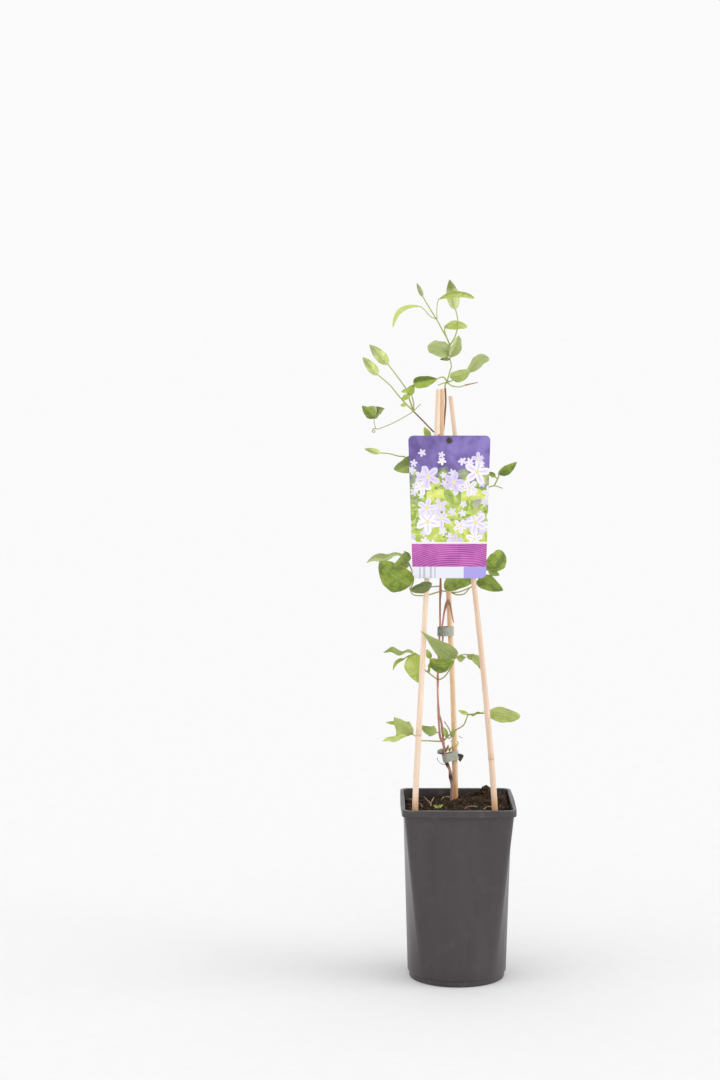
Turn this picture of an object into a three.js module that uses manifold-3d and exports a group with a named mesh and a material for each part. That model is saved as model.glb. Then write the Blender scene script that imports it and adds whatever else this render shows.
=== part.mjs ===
// A young climbing clematis in a tall nursery pot, trained on a tipi of three bamboo canes.
// Millimetres, +Z up, origin at the middle of the pot's foot; the front of the plant faces -Y.
import * as THREE from "three";
import { mergeVertices } from "three/addons/utils/BufferGeometryUtils.js";
import Module from "manifold-3d";

const wasm = await Module();
wasm.setup();

// ---- driving dimensions (mm) ----
const GAP = 0.3; // between pieces that touch

const POT_HEIGHT = 214;
const POT_BODY_HALF = 64.5; // half the square body just below the rim
const POT_CORNER = 9; // corner radius of that square
const POT_FOOT_RADIUS = 59;
const POT_FOOT_STEP = 2; // the foot ring stands in by this much
const POT_FOOT_RING = 7; // and is this tall
const POT_WALL = 1.6;
const POT_FLOOR = 2.4;
const RIM_LIP = 3.5; // the rim stands out past the body by this much
const RIM_SKIRT = 8; // and turns down by this much
const RIM_EASE = 0.8; // width of the bevel along its top edges
const DRAIN_COUNT = 6;
const DRAIN_RADIUS = 4.5;
const DRAIN_CIRCLE = 40;

const SOIL_LEVEL = 204.5;
const SOIL_MOUND = 7; // how much higher it lies on the right
const SOIL_LUMP = 2.2;
const SOIL_SEED = 11;
const CLODS = [ // lumps of peat that stand out of the bed: x, y, z, radius
  [37, 49, 216, 6], [28, 46, 212, 4.5], [24, 14, 209.5, 5], [48, 20, 211.5, 4.5],
];
const SEEDLING = [[-23, -8, 197], [-23.3, -8, 203], [-23, -7.8, 207]]; // stem of the weed seedling

const CANE_FOOT_RADIUS = 3.7;
const CANE_TOP_RADIUS = 2.5;
const CANE_KNUCKLE = 0.5; // swelling at a knuckle of the bamboo

// Each cane as points up its middle, from the end in the soil to the cut top.
const CANES = {
  cane_left: [[-49.5, -47, 140], [-51.4, -47.8, 210], [-45.1, -36.3, 340], [-38.4, -24.8, 469],
    [-26.8, -8.6, 651], [-24.6, -4, 703]],
  cane_right: [[43.3, -49.5, 140], [42.2, -47.8, 210], [31.8, -35.6, 340], [17, -22.3, 480],
    [-4.8, -6.3, 651], [-10, -2.1, 695]],
  cane_back: [[0.3, 50, 130], [-0.7, 44.9, 209], [-4.1, 34.8, 328], [-10.8, 23.4, 463],
    [-19.8, 7.6, 650], [-19.4, 3, 703]],
};
const CANE_KNUCKLES = { cane_left: [300, 540], cane_right: [272, 560], cane_back: [268, 448, 600] };

const TAPE_HEIGHT = 11;
const TAPE_THICKNESS = 1;

const LABEL_TOP_WIDTH = 96;
const LABEL_BOTTOM_WIDTH = 86;
const LABEL_HEIGHT = 167;
const LABEL_CORNER = 6;
const LABEL_THICKNESS = 0.8;
const LABEL_HOLE_RADIUS = 3;
const LABEL_HOLE_DROP = 5.5; // from the top edge to the hole's middle
const LABEL_TOP = [-11.7, -14.6, 649.5]; // middle of the top edge, back face
const LABEL_LEAN = 4.4; // degrees from upright, foot towards the front
const FASTENER_HEIGHT = 2.4;
const FASTENER_DROP = 2; // the strap lies this far below the hole
const FASTENER_KNOB_RADIUS = 4;

const BLADE_THICKNESS = 0.7;
const BLADE_ROOT = 1; // how far a blade reaches back into its stalk
const BLADE_ROWS = 6;
const SMALL_BLADE = 10; // narrower blades than this get fewer rows
const SMALL_BLADE_ROWS = 5;
const STALK_RADIUS = 0.9;
const STALK_TIP_RADIUS = 0.7;
const THREAD_RADIUS = 0.55; // tendrils and the thinnest leaf stalks

// ---- colours ----
const POT_GREY = { color: "#4d4849", roughness: 0.6 };
const PEAT = { color: "#3b2a1f", roughness: 0.95 };
const BAMBOO = { color: "#dcb896", roughness: 0.6 };
const TAPE_GREEN = { color: "#8c9a84", roughness: 0.5 };
const CARD = { color: "#a08cc8", roughness: 0.35 };
const FASTENER_BROWN = { color: "#2f2a1c", roughness: 0.5 };
const REDDISH_BARK = { color: "#96624f", roughness: 0.7 };
const LEAF_GREEN = { color: "#86a63a", roughness: 0.55 };
const LEAF_DEEP = { color: "#5f8a2a", roughness: 0.55 };
const LEAF_GREY = { color: "#93a877", roughness: 0.55 };
const BUD_GREEN = { color: "#b9cf6f", roughness: 0.55 };

// ---- shared helpers ----
const vec = (p) => new THREE.Vector3(...p);
const radians = THREE.MathUtils.degToRad;
const FRONT = new THREE.Vector3(0, -1, 0);

// A closed geometry as a solid that can be joined and cut.
function solid(geometry) {
  const bare = geometry.clone();
  bare.deleteAttribute("normal");
  bare.deleteAttribute("uv");
  const merged = mergeVertices(bare, 1e-4);
  return new wasm.Manifold(new wasm.Mesh({
    numProp: 3,
    vertProperties: merged.attributes.position.array,
    triVerts: new Uint32Array(merged.index.array),
  }));
}

const join = (solids) => solids.reduce((whole, next) => whole.add(next));

// A solid back as a geometry with flat-shaded faces.
function surface(made) {
  const mesh = made.getMesh();
  const indexed = new THREE.BufferGeometry()
    .setAttribute("position", new THREE.BufferAttribute(mesh.vertProperties, 3))
    .setIndex(new THREE.BufferAttribute(mesh.triVerts, 1));
  const flat = indexed.toNonIndexed();
  flat.computeVertexNormals();
  return flat;
}

const plant = new THREE.Group();

function place(name, geometry, finish) {
  const mesh = new THREE.Mesh(geometry, new THREE.MeshStandardMaterial({ ...finish, metalness: 0 }));
  mesh.name = name;
  plant.add(mesh);
  return mesh;
}

// Closed skin over a stack of rings of equal length, each ring turning left seen from above the last;
// each four-cornered patch is split along its shorter diagonal.
function loft(rings) {
  const sides = rings[0].length;
  const points = rings.flat();
  const faces = [];
  for (let r = 0; r + 1 < rings.length; r++) {
    for (let s = 0; s < sides; s++) {
      const a = r * sides + s, b = r * sides + (s + 1) % sides, c = b + sides, d = a + sides;
      const shorter = points[a].distanceTo(points[c]) < points[b].distanceTo(points[d]);
      faces.push(...(shorter ? [a, b, c, a, c, d] : [a, b, d, b, c, d]));
    }
  }
  const middle = (ring) => ring.reduce((sum, p) => sum.add(p), new THREE.Vector3()).divideScalar(sides);
  const foot = points.push(middle(rings[0])) - 1;
  const head = points.push(middle(rings.at(-1))) - 1;
  const last = (rings.length - 1) * sides;
  for (let s = 0; s < sides; s++) {
    const next = (s + 1) % sides;
    faces.push(foot, next, s, head, last + s, last + next);
  }
  return new THREE.BufferGeometry().setFromPoints(points).setIndex(faces);
}

// A round stem along a smooth curve through points, its radius eased from point to point.
function stem(points, radii, { sides = 6, steps = 2, swell = 0 } = {}) {
  const curve = new THREE.CatmullRomCurve3(points.map(vec), false, "centripetal");
  const count = (points.length - 1) * steps;
  const frames = curve.computeFrenetFrames(count, false);
  const rings = [];
  for (let i = 0; i <= count; i++) {
    const at = i / steps, k = Math.min(Math.floor(at), points.length - 2);
    const radiusAt = (j) => radii[Math.min(j, radii.length - 1)];
    const radius = THREE.MathUtils.lerp(radiusAt(k), radiusAt(k + 1), at - k) + swell;
    const centre = curve.getPoint(i / count);
    rings.push(Array.from({ length: sides }, (_, s) => {
      const angle = 2 * Math.PI * s / sides;
      return centre.clone()
        .addScaledVector(frames.normals[i], radius * Math.cos(angle))
        .addScaledVector(frames.binormals[i], radius * Math.sin(angle));
    }));
  }
  return solid(loft(rings));
}

// ---- pot: lofted from a round foot to a rounded square rim ----
const CORNER_START = THREE.MathUtils.radToDeg(Math.atan((POT_BODY_HALF - POT_CORNER) / POT_BODY_HALF));
const POT_QUARTER = [0, 17, 32, CORNER_START, 43.5, 46.5, 90 - CORNER_START, 58, 73]; // degrees
const POT_WAIST = [75, 140]; // heights of the rings between foot and rim
const POT_ANGLES = [0, 90, 180, 270].flatMap((q) => POT_QUARTER.map((a) => radians(q + a)));

// Distance from the middle to a rounded square's edge.
function squareRadius(angle, half, corner) {
  const folded = Math.abs(((angle + Math.PI / 4) % (Math.PI / 2)) - Math.PI / 4);
  const straight = half / Math.cos(folded);
  const inner = half - corner;
  if (half * Math.tan(folded) <= inner) return straight;
  const along = inner * (Math.cos(folded) + Math.sin(folded));
  return along + Math.sqrt(along * along - 2 * inner * inner + corner * corner);
}

// The pot's outline at height z, moved in by inset.
function potRing(z, inset) {
  const straight = (z - POT_FOOT_RING) / (POT_HEIGHT - RIM_SKIRT - POT_FOOT_RING);
  const round = THREE.MathUtils.clamp(1 - straight, 0, 1);
  return POT_ANGLES.map((angle) => {
    const square = squareRadius(angle, POT_BODY_HALF, POT_CORNER);
    const radius = THREE.MathUtils.lerp(square, POT_FOOT_RADIUS, round) - inset;
    return new THREE.Vector3(radius * Math.cos(angle), radius * Math.sin(angle), z);
  });
}

function pot() {
  const top = POT_HEIGHT, skirt = POT_HEIGHT - RIM_SKIRT, ledge = POT_HEIGHT - POT_WALL - 0.6;
  const lip = -RIM_LIP, lipInside = -RIM_LIP + POT_WALL;
  const shell = solid(loft([
    potRing(0, POT_FOOT_STEP + 1), potRing(1, POT_FOOT_STEP), potRing(POT_FOOT_RING, POT_FOOT_STEP),
    potRing(POT_FOOT_RING + 0.6, 0), ...POT_WAIST.map((z) => potRing(z, 0)), potRing(skirt, 0),
    potRing(ledge, 0), potRing(ledge, lipInside), potRing(skirt, lipInside), potRing(skirt, lip),
    potRing(top - RIM_EASE, lip), potRing(top, lip + RIM_EASE), potRing(top, POT_WALL - RIM_EASE),
    potRing(top - RIM_EASE, POT_WALL), potRing(skirt, POT_WALL),
    ...POT_WAIST.toReversed().map((z) => potRing(z, POT_WALL)),
    potRing(POT_FOOT_RING + 3, POT_WALL), potRing(POT_FLOOR, POT_FOOT_STEP + POT_WALL),
  ]));
  const drains = Array.from({ length: DRAIN_COUNT }, (_, i) => {
    const angle = 2 * Math.PI * (i + 0.5) / DRAIN_COUNT;
    const drill = new THREE.CylinderGeometry(DRAIN_RADIUS, DRAIN_RADIUS, 3 * POT_FLOOR, 12)
      .rotateX(Math.PI / 2).translate(DRAIN_CIRCLE, 0, POT_FLOOR / 2).rotateZ(angle);
    return solid(drill);
  });
  return shell.subtract(join(drains));
}

place("pot", surface(pot()), POT_GREY);

// ---- canes: bamboo sticks that lean together in a tipi ----
function cane(name, swell = 0) {
  const points = CANES[name];
  const curve = new THREE.CatmullRomCurve3(points.map(vec), false, "centripetal");
  const low = points[0][2], high = points.at(-1)[2];
  const knuckles = CANE_KNUCKLES[name].flatMap((z) => [z - 6, z, z + 6]);
  const heights = [...points.map((p) => p[2]), ...knuckles].sort((a, b) => a - b);
  const samples = curve.getPoints(240);
  const path = heights.map((z) => samples.reduce((near, p) =>
    Math.abs(p.z - z) < Math.abs(near.z - z) ? p : near).toArray());
  const radii = heights.map((z) =>
    THREE.MathUtils.mapLinear(z, low, high, CANE_FOOT_RADIUS, CANE_TOP_RADIUS)
    + (CANE_KNUCKLES[name].includes(z) ? CANE_KNUCKLE : 0));
  return stem(path, radii, { sides: 10, steps: 1, swell });
}

for (const name of Object.keys(CANES)) place(name, surface(cane(name)), BAMBOO);
const canesWithClearance = join(Object.keys(CANES).map((name) => cane(name, GAP)));

// ---- vine: woody base and the reddish strands that climb beside the back cane ----
const VINE = [
  { // base and the strand that climbs on to the cane tops
    points: [[-4.2, 38.5, 150], [-4.9, 38, 205], [-5.2, 37.2, 225], [-6.8, 37.2, 234], [-8, 36.6, 243],
      [-11.2, 36.6, 250], [-13.7, 35.8, 264], [-16.2, 34, 276], [-19.7, 32.6, 283], [-20.7, 30.8, 293],
      [-21.8, 29.8, 305], [-21.4, 29.6, 314], [-23.1, 28.7, 329], [-23.8, 27.6, 341], [-22.9, 26.6, 354],
      [-24.2, 25.8, 364], [-22.2, 25, 384], [-21.2, 24, 407], [-20.7, 22.8, 420], [-20.8, 20.4, 451],
      [-20.4, 18.4, 462], [-20.4, 17.2, 478], [-22.2, 17.2, 520], [-22.7, 17.4, 560], [-21.7, 17.2, 600],
      [-20.2, 16.6, 628], [-17.7, 14.4, 655], [-15.2, 9.6, 688], [-16, 6.6, 704]],
    radii: [3.1, 2.8, 2.6, 2.9, 2.4, 2.5, 2.3, 2, 1.7, 1.5, 1.5, 1.9, 1.3, 1.3, 1.7, 1.3, 1.3, 1.3, 1.3,
      1.3, 1.8, 1.3, 1.3, 1.3, 1.3, 1.2, 1.2, 1.1, 1.1],
  },
  { // second strand beside it, low down
    points: [[-14.7, 35, 270], [-15.6, 34, 279], [-17, 32.8, 289], [-18.2, 31, 301], [-21.2, 29.8, 312]],
    radii: [1.4, 1.3, 1.3, 1.3, 1.2],
  },
  { // strand that leaves the upper tie and ends, hanging, in front of the back cane
    points: [[-23.8, 25.8, 368], [-19.8, 24, 386], [-17.1, 22.8, 407], [-17.4, 21, 419], [-17.1, 19.2, 428],
      [-15.4, 17.6, 438], [-13, 15.8, 448], [-10.6, 15.4, 451], [-8, 15.4, 449], [-6.6, 16.2, 440],
      [-5.4, 18, 430], [-4.1, 18.4, 424]],
    radii: [1.2, 1.2, 1.2, 1.2, 1.2, 1.3, 1.9, 1.5, 1.2, 1.1, 1.1, 0.8],
  },
  { // side twig that carries the left-hand buds
    points: [[-18.6, 15.1, 646], [-29.2, 8, 652.5], [-34.2, 4, 657.5], [-44.2, 0, 668], [-53.2, -4, 677]],
    radii: [1, 0.9, 0.9, 0.9, 0.9],
  },
];
const vine = (swell = 0) => join(VINE.map(({ points, radii }) => stem(points, radii, { steps: 1, swell })));

place("vine_stem", surface(vine()), REDDISH_BARK);
const stemsWithClearance = canesWithClearance.add(vine(GAP));

// ---- soil: fills the pot, mounded to the right, with plain holes for canes and stems ----
const shoot = (points, swell = 0) => stem(points, [STALK_TIP_RADIUS], { sides: 5, swell });

function soil() {
  let seed = SOIL_SEED;
  const random = () => (seed = (seed * 16807) % 2147483647) / 2147483647;
  const inset = POT_WALL + GAP;
  const level = (x, y) => {
    const mound = THREE.MathUtils.smoothstep(x, -20, 50) * THREE.MathUtils.smoothstep(y, -50, 40);
    return SOIL_LEVEL + SOIL_MOUND * mound + SOIL_LUMP * (random() - 0.4);
  };
  const shrink = (ring, share) => ring.map((p) => {
    const x = p.x * share, y = p.y * share;
    return new THREE.Vector3(x, y, level(x, y));
  });
  const edge = potRing(SOIL_LEVEL - 4, inset);
  const bed = solid(loft([
    potRing(POT_FLOOR + GAP, POT_FOOT_STEP + inset + 0.4), potRing(POT_FOOT_RING + 3, inset + 0.1),
    ...POT_WAIST.map((z) => potRing(z, inset)), edge,
    ...[0.97, 0.86, 0.72, 0.56, 0.38, 0.18].map((share) => shrink(edge, share)),
  ]));
  const clods = CLODS.map(([x, y, z, radius], i) =>
    solid(new THREE.IcosahedronGeometry(radius, 1).rotateZ(i).scale(1.1, 1, 0.85).translate(x, y, z)));
  return join([bed, ...clods]).subtract(stemsWithClearance)
    .subtract(shoot(SEEDLING, GAP));
}

place("soil", surface(soil()), PEAT);

// ---- ties: bands of soft tape round the back cane and the stems ----
// The outline that hugs a set of circles [x, y, radius], moved out by margin.
function hug(circles, margin, sides = 24) {
  return Array.from({ length: sides }, (_, i) => {
    const angle = 2 * Math.PI * i / sides, nx = Math.cos(angle), ny = Math.sin(angle);
    const [x, y, r] = circles.reduce((far, c) =>
      c[0] * nx + c[1] * ny + c[2] > far[0] * nx + far[1] * ny + far[2] ? c : far);
    return new THREE.Vector2(x + (r + margin) * nx, y + (r + margin) * ny);
  });
}

function band(circles, margin, thickness, height) {
  const outline = new THREE.Shape(hug(circles, margin + thickness));
  outline.holes.push(new THREE.Path(hug(circles, margin)));
  return new THREE.ExtrudeGeometry(outline, { depth: height, bevelEnabled: false, steps: 1 })
    .translate(0, 0, -height / 2);
}

const ear = (width, height, x, y, z, turn) =>
  solid(new THREE.BoxGeometry(width, TAPE_THICKNESS, height).rotateY(radians(turn)).translate(x, y, z));

const LOWER_TIE = [[-1.8, 40.4, 4.1], [-12.8, 36.2, 3]];
const lowerTie = join([
  solid(band(LOWER_TIE, GAP, TAPE_THICKNESS, TAPE_HEIGHT - 1).rotateY(radians(-12))
    .translate(0, 0, 261)),
  ear(8, 7, -18.7, 36.4, 264.5, -8),
  ear(7.5, 10, 5.2, 37.4, 258.5, 6),
]);
place("tie_lower", surface(lowerTie.subtract(stemsWithClearance)), TAPE_GREEN);

const UPPER_TIE = [[-8.6, 27.4, 3.6], [-20.8, 23.4, 1.7], [-17.3, 22, 1.7]];
place("tie_upper", surface(solid(band(UPPER_TIE, GAP, TAPE_THICKNESS, TAPE_HEIGHT)
  .translate(0, 0, 413)).subtract(stemsWithClearance)), TAPE_GREEN);

// ---- hang label: a printed card that leans on the two front canes ----
function labelOutline() {
  const top = LABEL_TOP_WIDTH / 2, foot = LABEL_BOTTOM_WIDTH / 2, r = LABEL_CORNER, h = LABEL_HEIGHT;
  const shape = new THREE.Shape()
    .moveTo(-foot + r, -h).lineTo(foot - r, -h).quadraticCurveTo(foot, -h, foot + 0.4, -h + r)
    .lineTo(top - 0.4, -r).quadraticCurveTo(top, 0, top - r, 0)
    .lineTo(-top + r, 0).quadraticCurveTo(-top, 0, -top + 0.4, -r)
    .lineTo(-foot - 0.4, -h + r).quadraticCurveTo(-foot, -h, -foot + r, -h);
  shape.holes.push(new THREE.Path().absarc(0, -LABEL_HOLE_DROP, LABEL_HOLE_RADIUS, 0, 2 * Math.PI, true));
  return shape;
}

const card = new THREE.ExtrudeGeometry(labelOutline(),
  { depth: LABEL_THICKNESS, bevelEnabled: false, curveSegments: 6 }).rotateX(Math.PI / 2);
const label = place("label_card", surface(solid(card)), CARD);
label.rotation.x = radians(-LABEL_LEAN);
label.position.set(...LABEL_TOP);

// The fastener: a strap round the canes and the vine, with a stub and knob through the card's hole.
const FASTENER_RING = [[-27.2, -9.4, 3], [-3.6, -7.2, 3.1], [-19.6, 8.3, 2.9], [-18.8, 15.4, 1.5]];
const HOLE_AT = [LABEL_TOP[0], -15.1, LABEL_TOP[2] - LABEL_HOLE_DROP];
const stub = new THREE.CylinderGeometry(1.4, 1.4, 7, 10).translate(HOLE_AT[0], HOLE_AT[1], HOLE_AT[2]);
const knob = new THREE.CylinderGeometry(FASTENER_KNOB_RADIUS - 1, FASTENER_KNOB_RADIUS, 2.4, 12)
  .rotateX(Math.PI).translate(HOLE_AT[0], HOLE_AT[1] - 2.4, HOLE_AT[2]);
const strap = band(FASTENER_RING, 2 * GAP, 1, FASTENER_HEIGHT)
  .translate(0, 0, HOLE_AT[2] - FASTENER_DROP);
place("label_fastener", surface(join([solid(strap), solid(stub), solid(knob)])), FASTENER_BROWN);

// ---- foliage: thin blades on stalks ----
// One blade from its root to its tip. roll turns it about that line away from facing front; arch lifts its
// middle off the line towards its face and lift bends it upwards; fold raises both halves; wave ripples
// the margins; widest and lobes are shares of the length.
function blade({ from, to, width, roll = 0, arch = 0.08, lift = 0, fold = 0.18, wave = 0.06, widest = 0.38,
  twist = 0, lobes = [] }) {
  const small = width < SMALL_BLADE;
  const rows = small ? SMALL_BLADE_ROWS : BLADE_ROWS;
  const columns = small ? [-1, 0, 1] : [-1, -0.5, 0, 0.5, 1];
  const root = vec(from), axis = vec(to).sub(root), length = axis.length();
  axis.normalize();
  const face = FRONT.clone().addScaledVector(axis, -FRONT.dot(axis)).normalize()
    .applyAxisAngle(axis, radians(roll));
  const across = face.clone().cross(axis);
  if (across.z < 0) across.negate();
  const rise = 0.55, fall = rise * (1 - widest) / widest;
  const middle = (t, w) => {
    const outline = (t / widest) ** rise * ((1 - t) / (1 - widest)) ** fall;
    const stand = lobes.reduce((sum, at) => sum + 0.22 * Math.exp(-(((t - at) / 0.07) ** 2)), 1);
    const half = 0.5 * width * outline * (Math.abs(w) === 1 ? stand : 1);
    const ripple = wave * width * Math.sin(9 * t + 2 * w) * w * w;
    const turn = radians(twist * t);
    const side = across.clone().applyAxisAngle(axis, turn), up = face.clone().applyAxisAngle(axis, turn);
    return root.clone().addScaledVector(axis, t * length)
      .addScaledVector(side, w * half).addScaledVector(across, lift * length * 4 * t * (1 - t))
      .addScaledVector(face, arch * length * 4 * t * (1 - t))
      .addScaledVector(up, fold * Math.abs(w) * half + ripple * outline);
  };
  const points = [], faces = [];
  for (const side of [1, -1]) {
    const at = (t, w) => {
      const d = 0.02, u = THREE.MathUtils.clamp(t, 2 * d, 1 - 2 * d);
      const normal = middle(u + d, w).sub(middle(u - d, w)).cross(middle(u, w + d).sub(middle(u, w - d)));
      return middle(t, w).addScaledVector(normal.normalize(), -side * BLADE_THICKNESS / 2);
    };
    points.push(at(0, 0).addScaledVector(axis, -BLADE_ROOT));
    for (let i = 1; i < rows; i++) for (const w of columns) points.push(at(i / rows, w));
    points.push(at(1, 0));
  }
  const perSide = points.length / 2, wide = columns.length, last = perSide - 1;
  const index = (row, column) => row === 0 ? 0 : row === rows ? last : 1 + (row - 1) * wide + column;
  const both = (a, b, c) => {
    if (a === b || b === c || a === c) return;
    faces.push(a, b, c, perSide + a, perSide + c, perSide + b);
  };
  for (let i = 0; i < rows; i++) {
    for (let j = 0; j + 1 < wide; j++) {
      both(index(i, j), index(i, j + 1), index(i + 1, j + 1));
      both(index(i, j), index(i + 1, j + 1), index(i + 1, j));
    }
    for (const [column, a, b] of [[0, i, i + 1], [wide - 1, i + 1, i]]) {
      const p = index(a, column), q = index(b, column);
      faces.push(p, q, perSide + q, p, perSide + q, perSide + p);
    }
  }
  return solid(new THREE.BufferGeometry().setFromPoints(points).setIndex(faces));
}

// A closed flower bud: an egg-shaped body with a drawn-out tip and raised sepal ribs.
function bud({ from, to, width, ribs = 5 }) {
  const root = vec(from), axis = vec(to).sub(root), length = axis.length();
  const turn = new THREE.Quaternion().setFromUnitVectors(vec([0, 0, 1]), axis.clone().normalize());
  const sides = 2 * ribs;
  const rings = [0, 0.06, 0.22, 0.44, 0.7, 0.9, 1].map((t) => {
    const radius = 0.5 * width * Math.max(0.08, Math.sin(Math.PI * Math.min(1, t ** 0.75)) ** 0.8);
    return Array.from({ length: sides }, (_, s) => {
      const angle = 2 * Math.PI * s / sides;
      const r = radius * (s % 2 ? 0.9 : 1);
      return new THREE.Vector3(r * Math.cos(angle), r * Math.sin(angle), t * length)
        .applyQuaternion(turn).add(root);
    });
  });
  return solid(loft(rings));
}

const stalk = (points) => stem(points,
  points.map((_, i) => THREE.MathUtils.lerp(STALK_RADIUS, STALK_TIP_RADIUS, i / (points.length - 1))),
  { sides: 5, steps: points.length < 5 ? 2 : 1 });
const thread = (points) => stem(points, [THREAD_RADIUS], { sides: 4, steps: points.length < 5 ? 2 : 1 });

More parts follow.
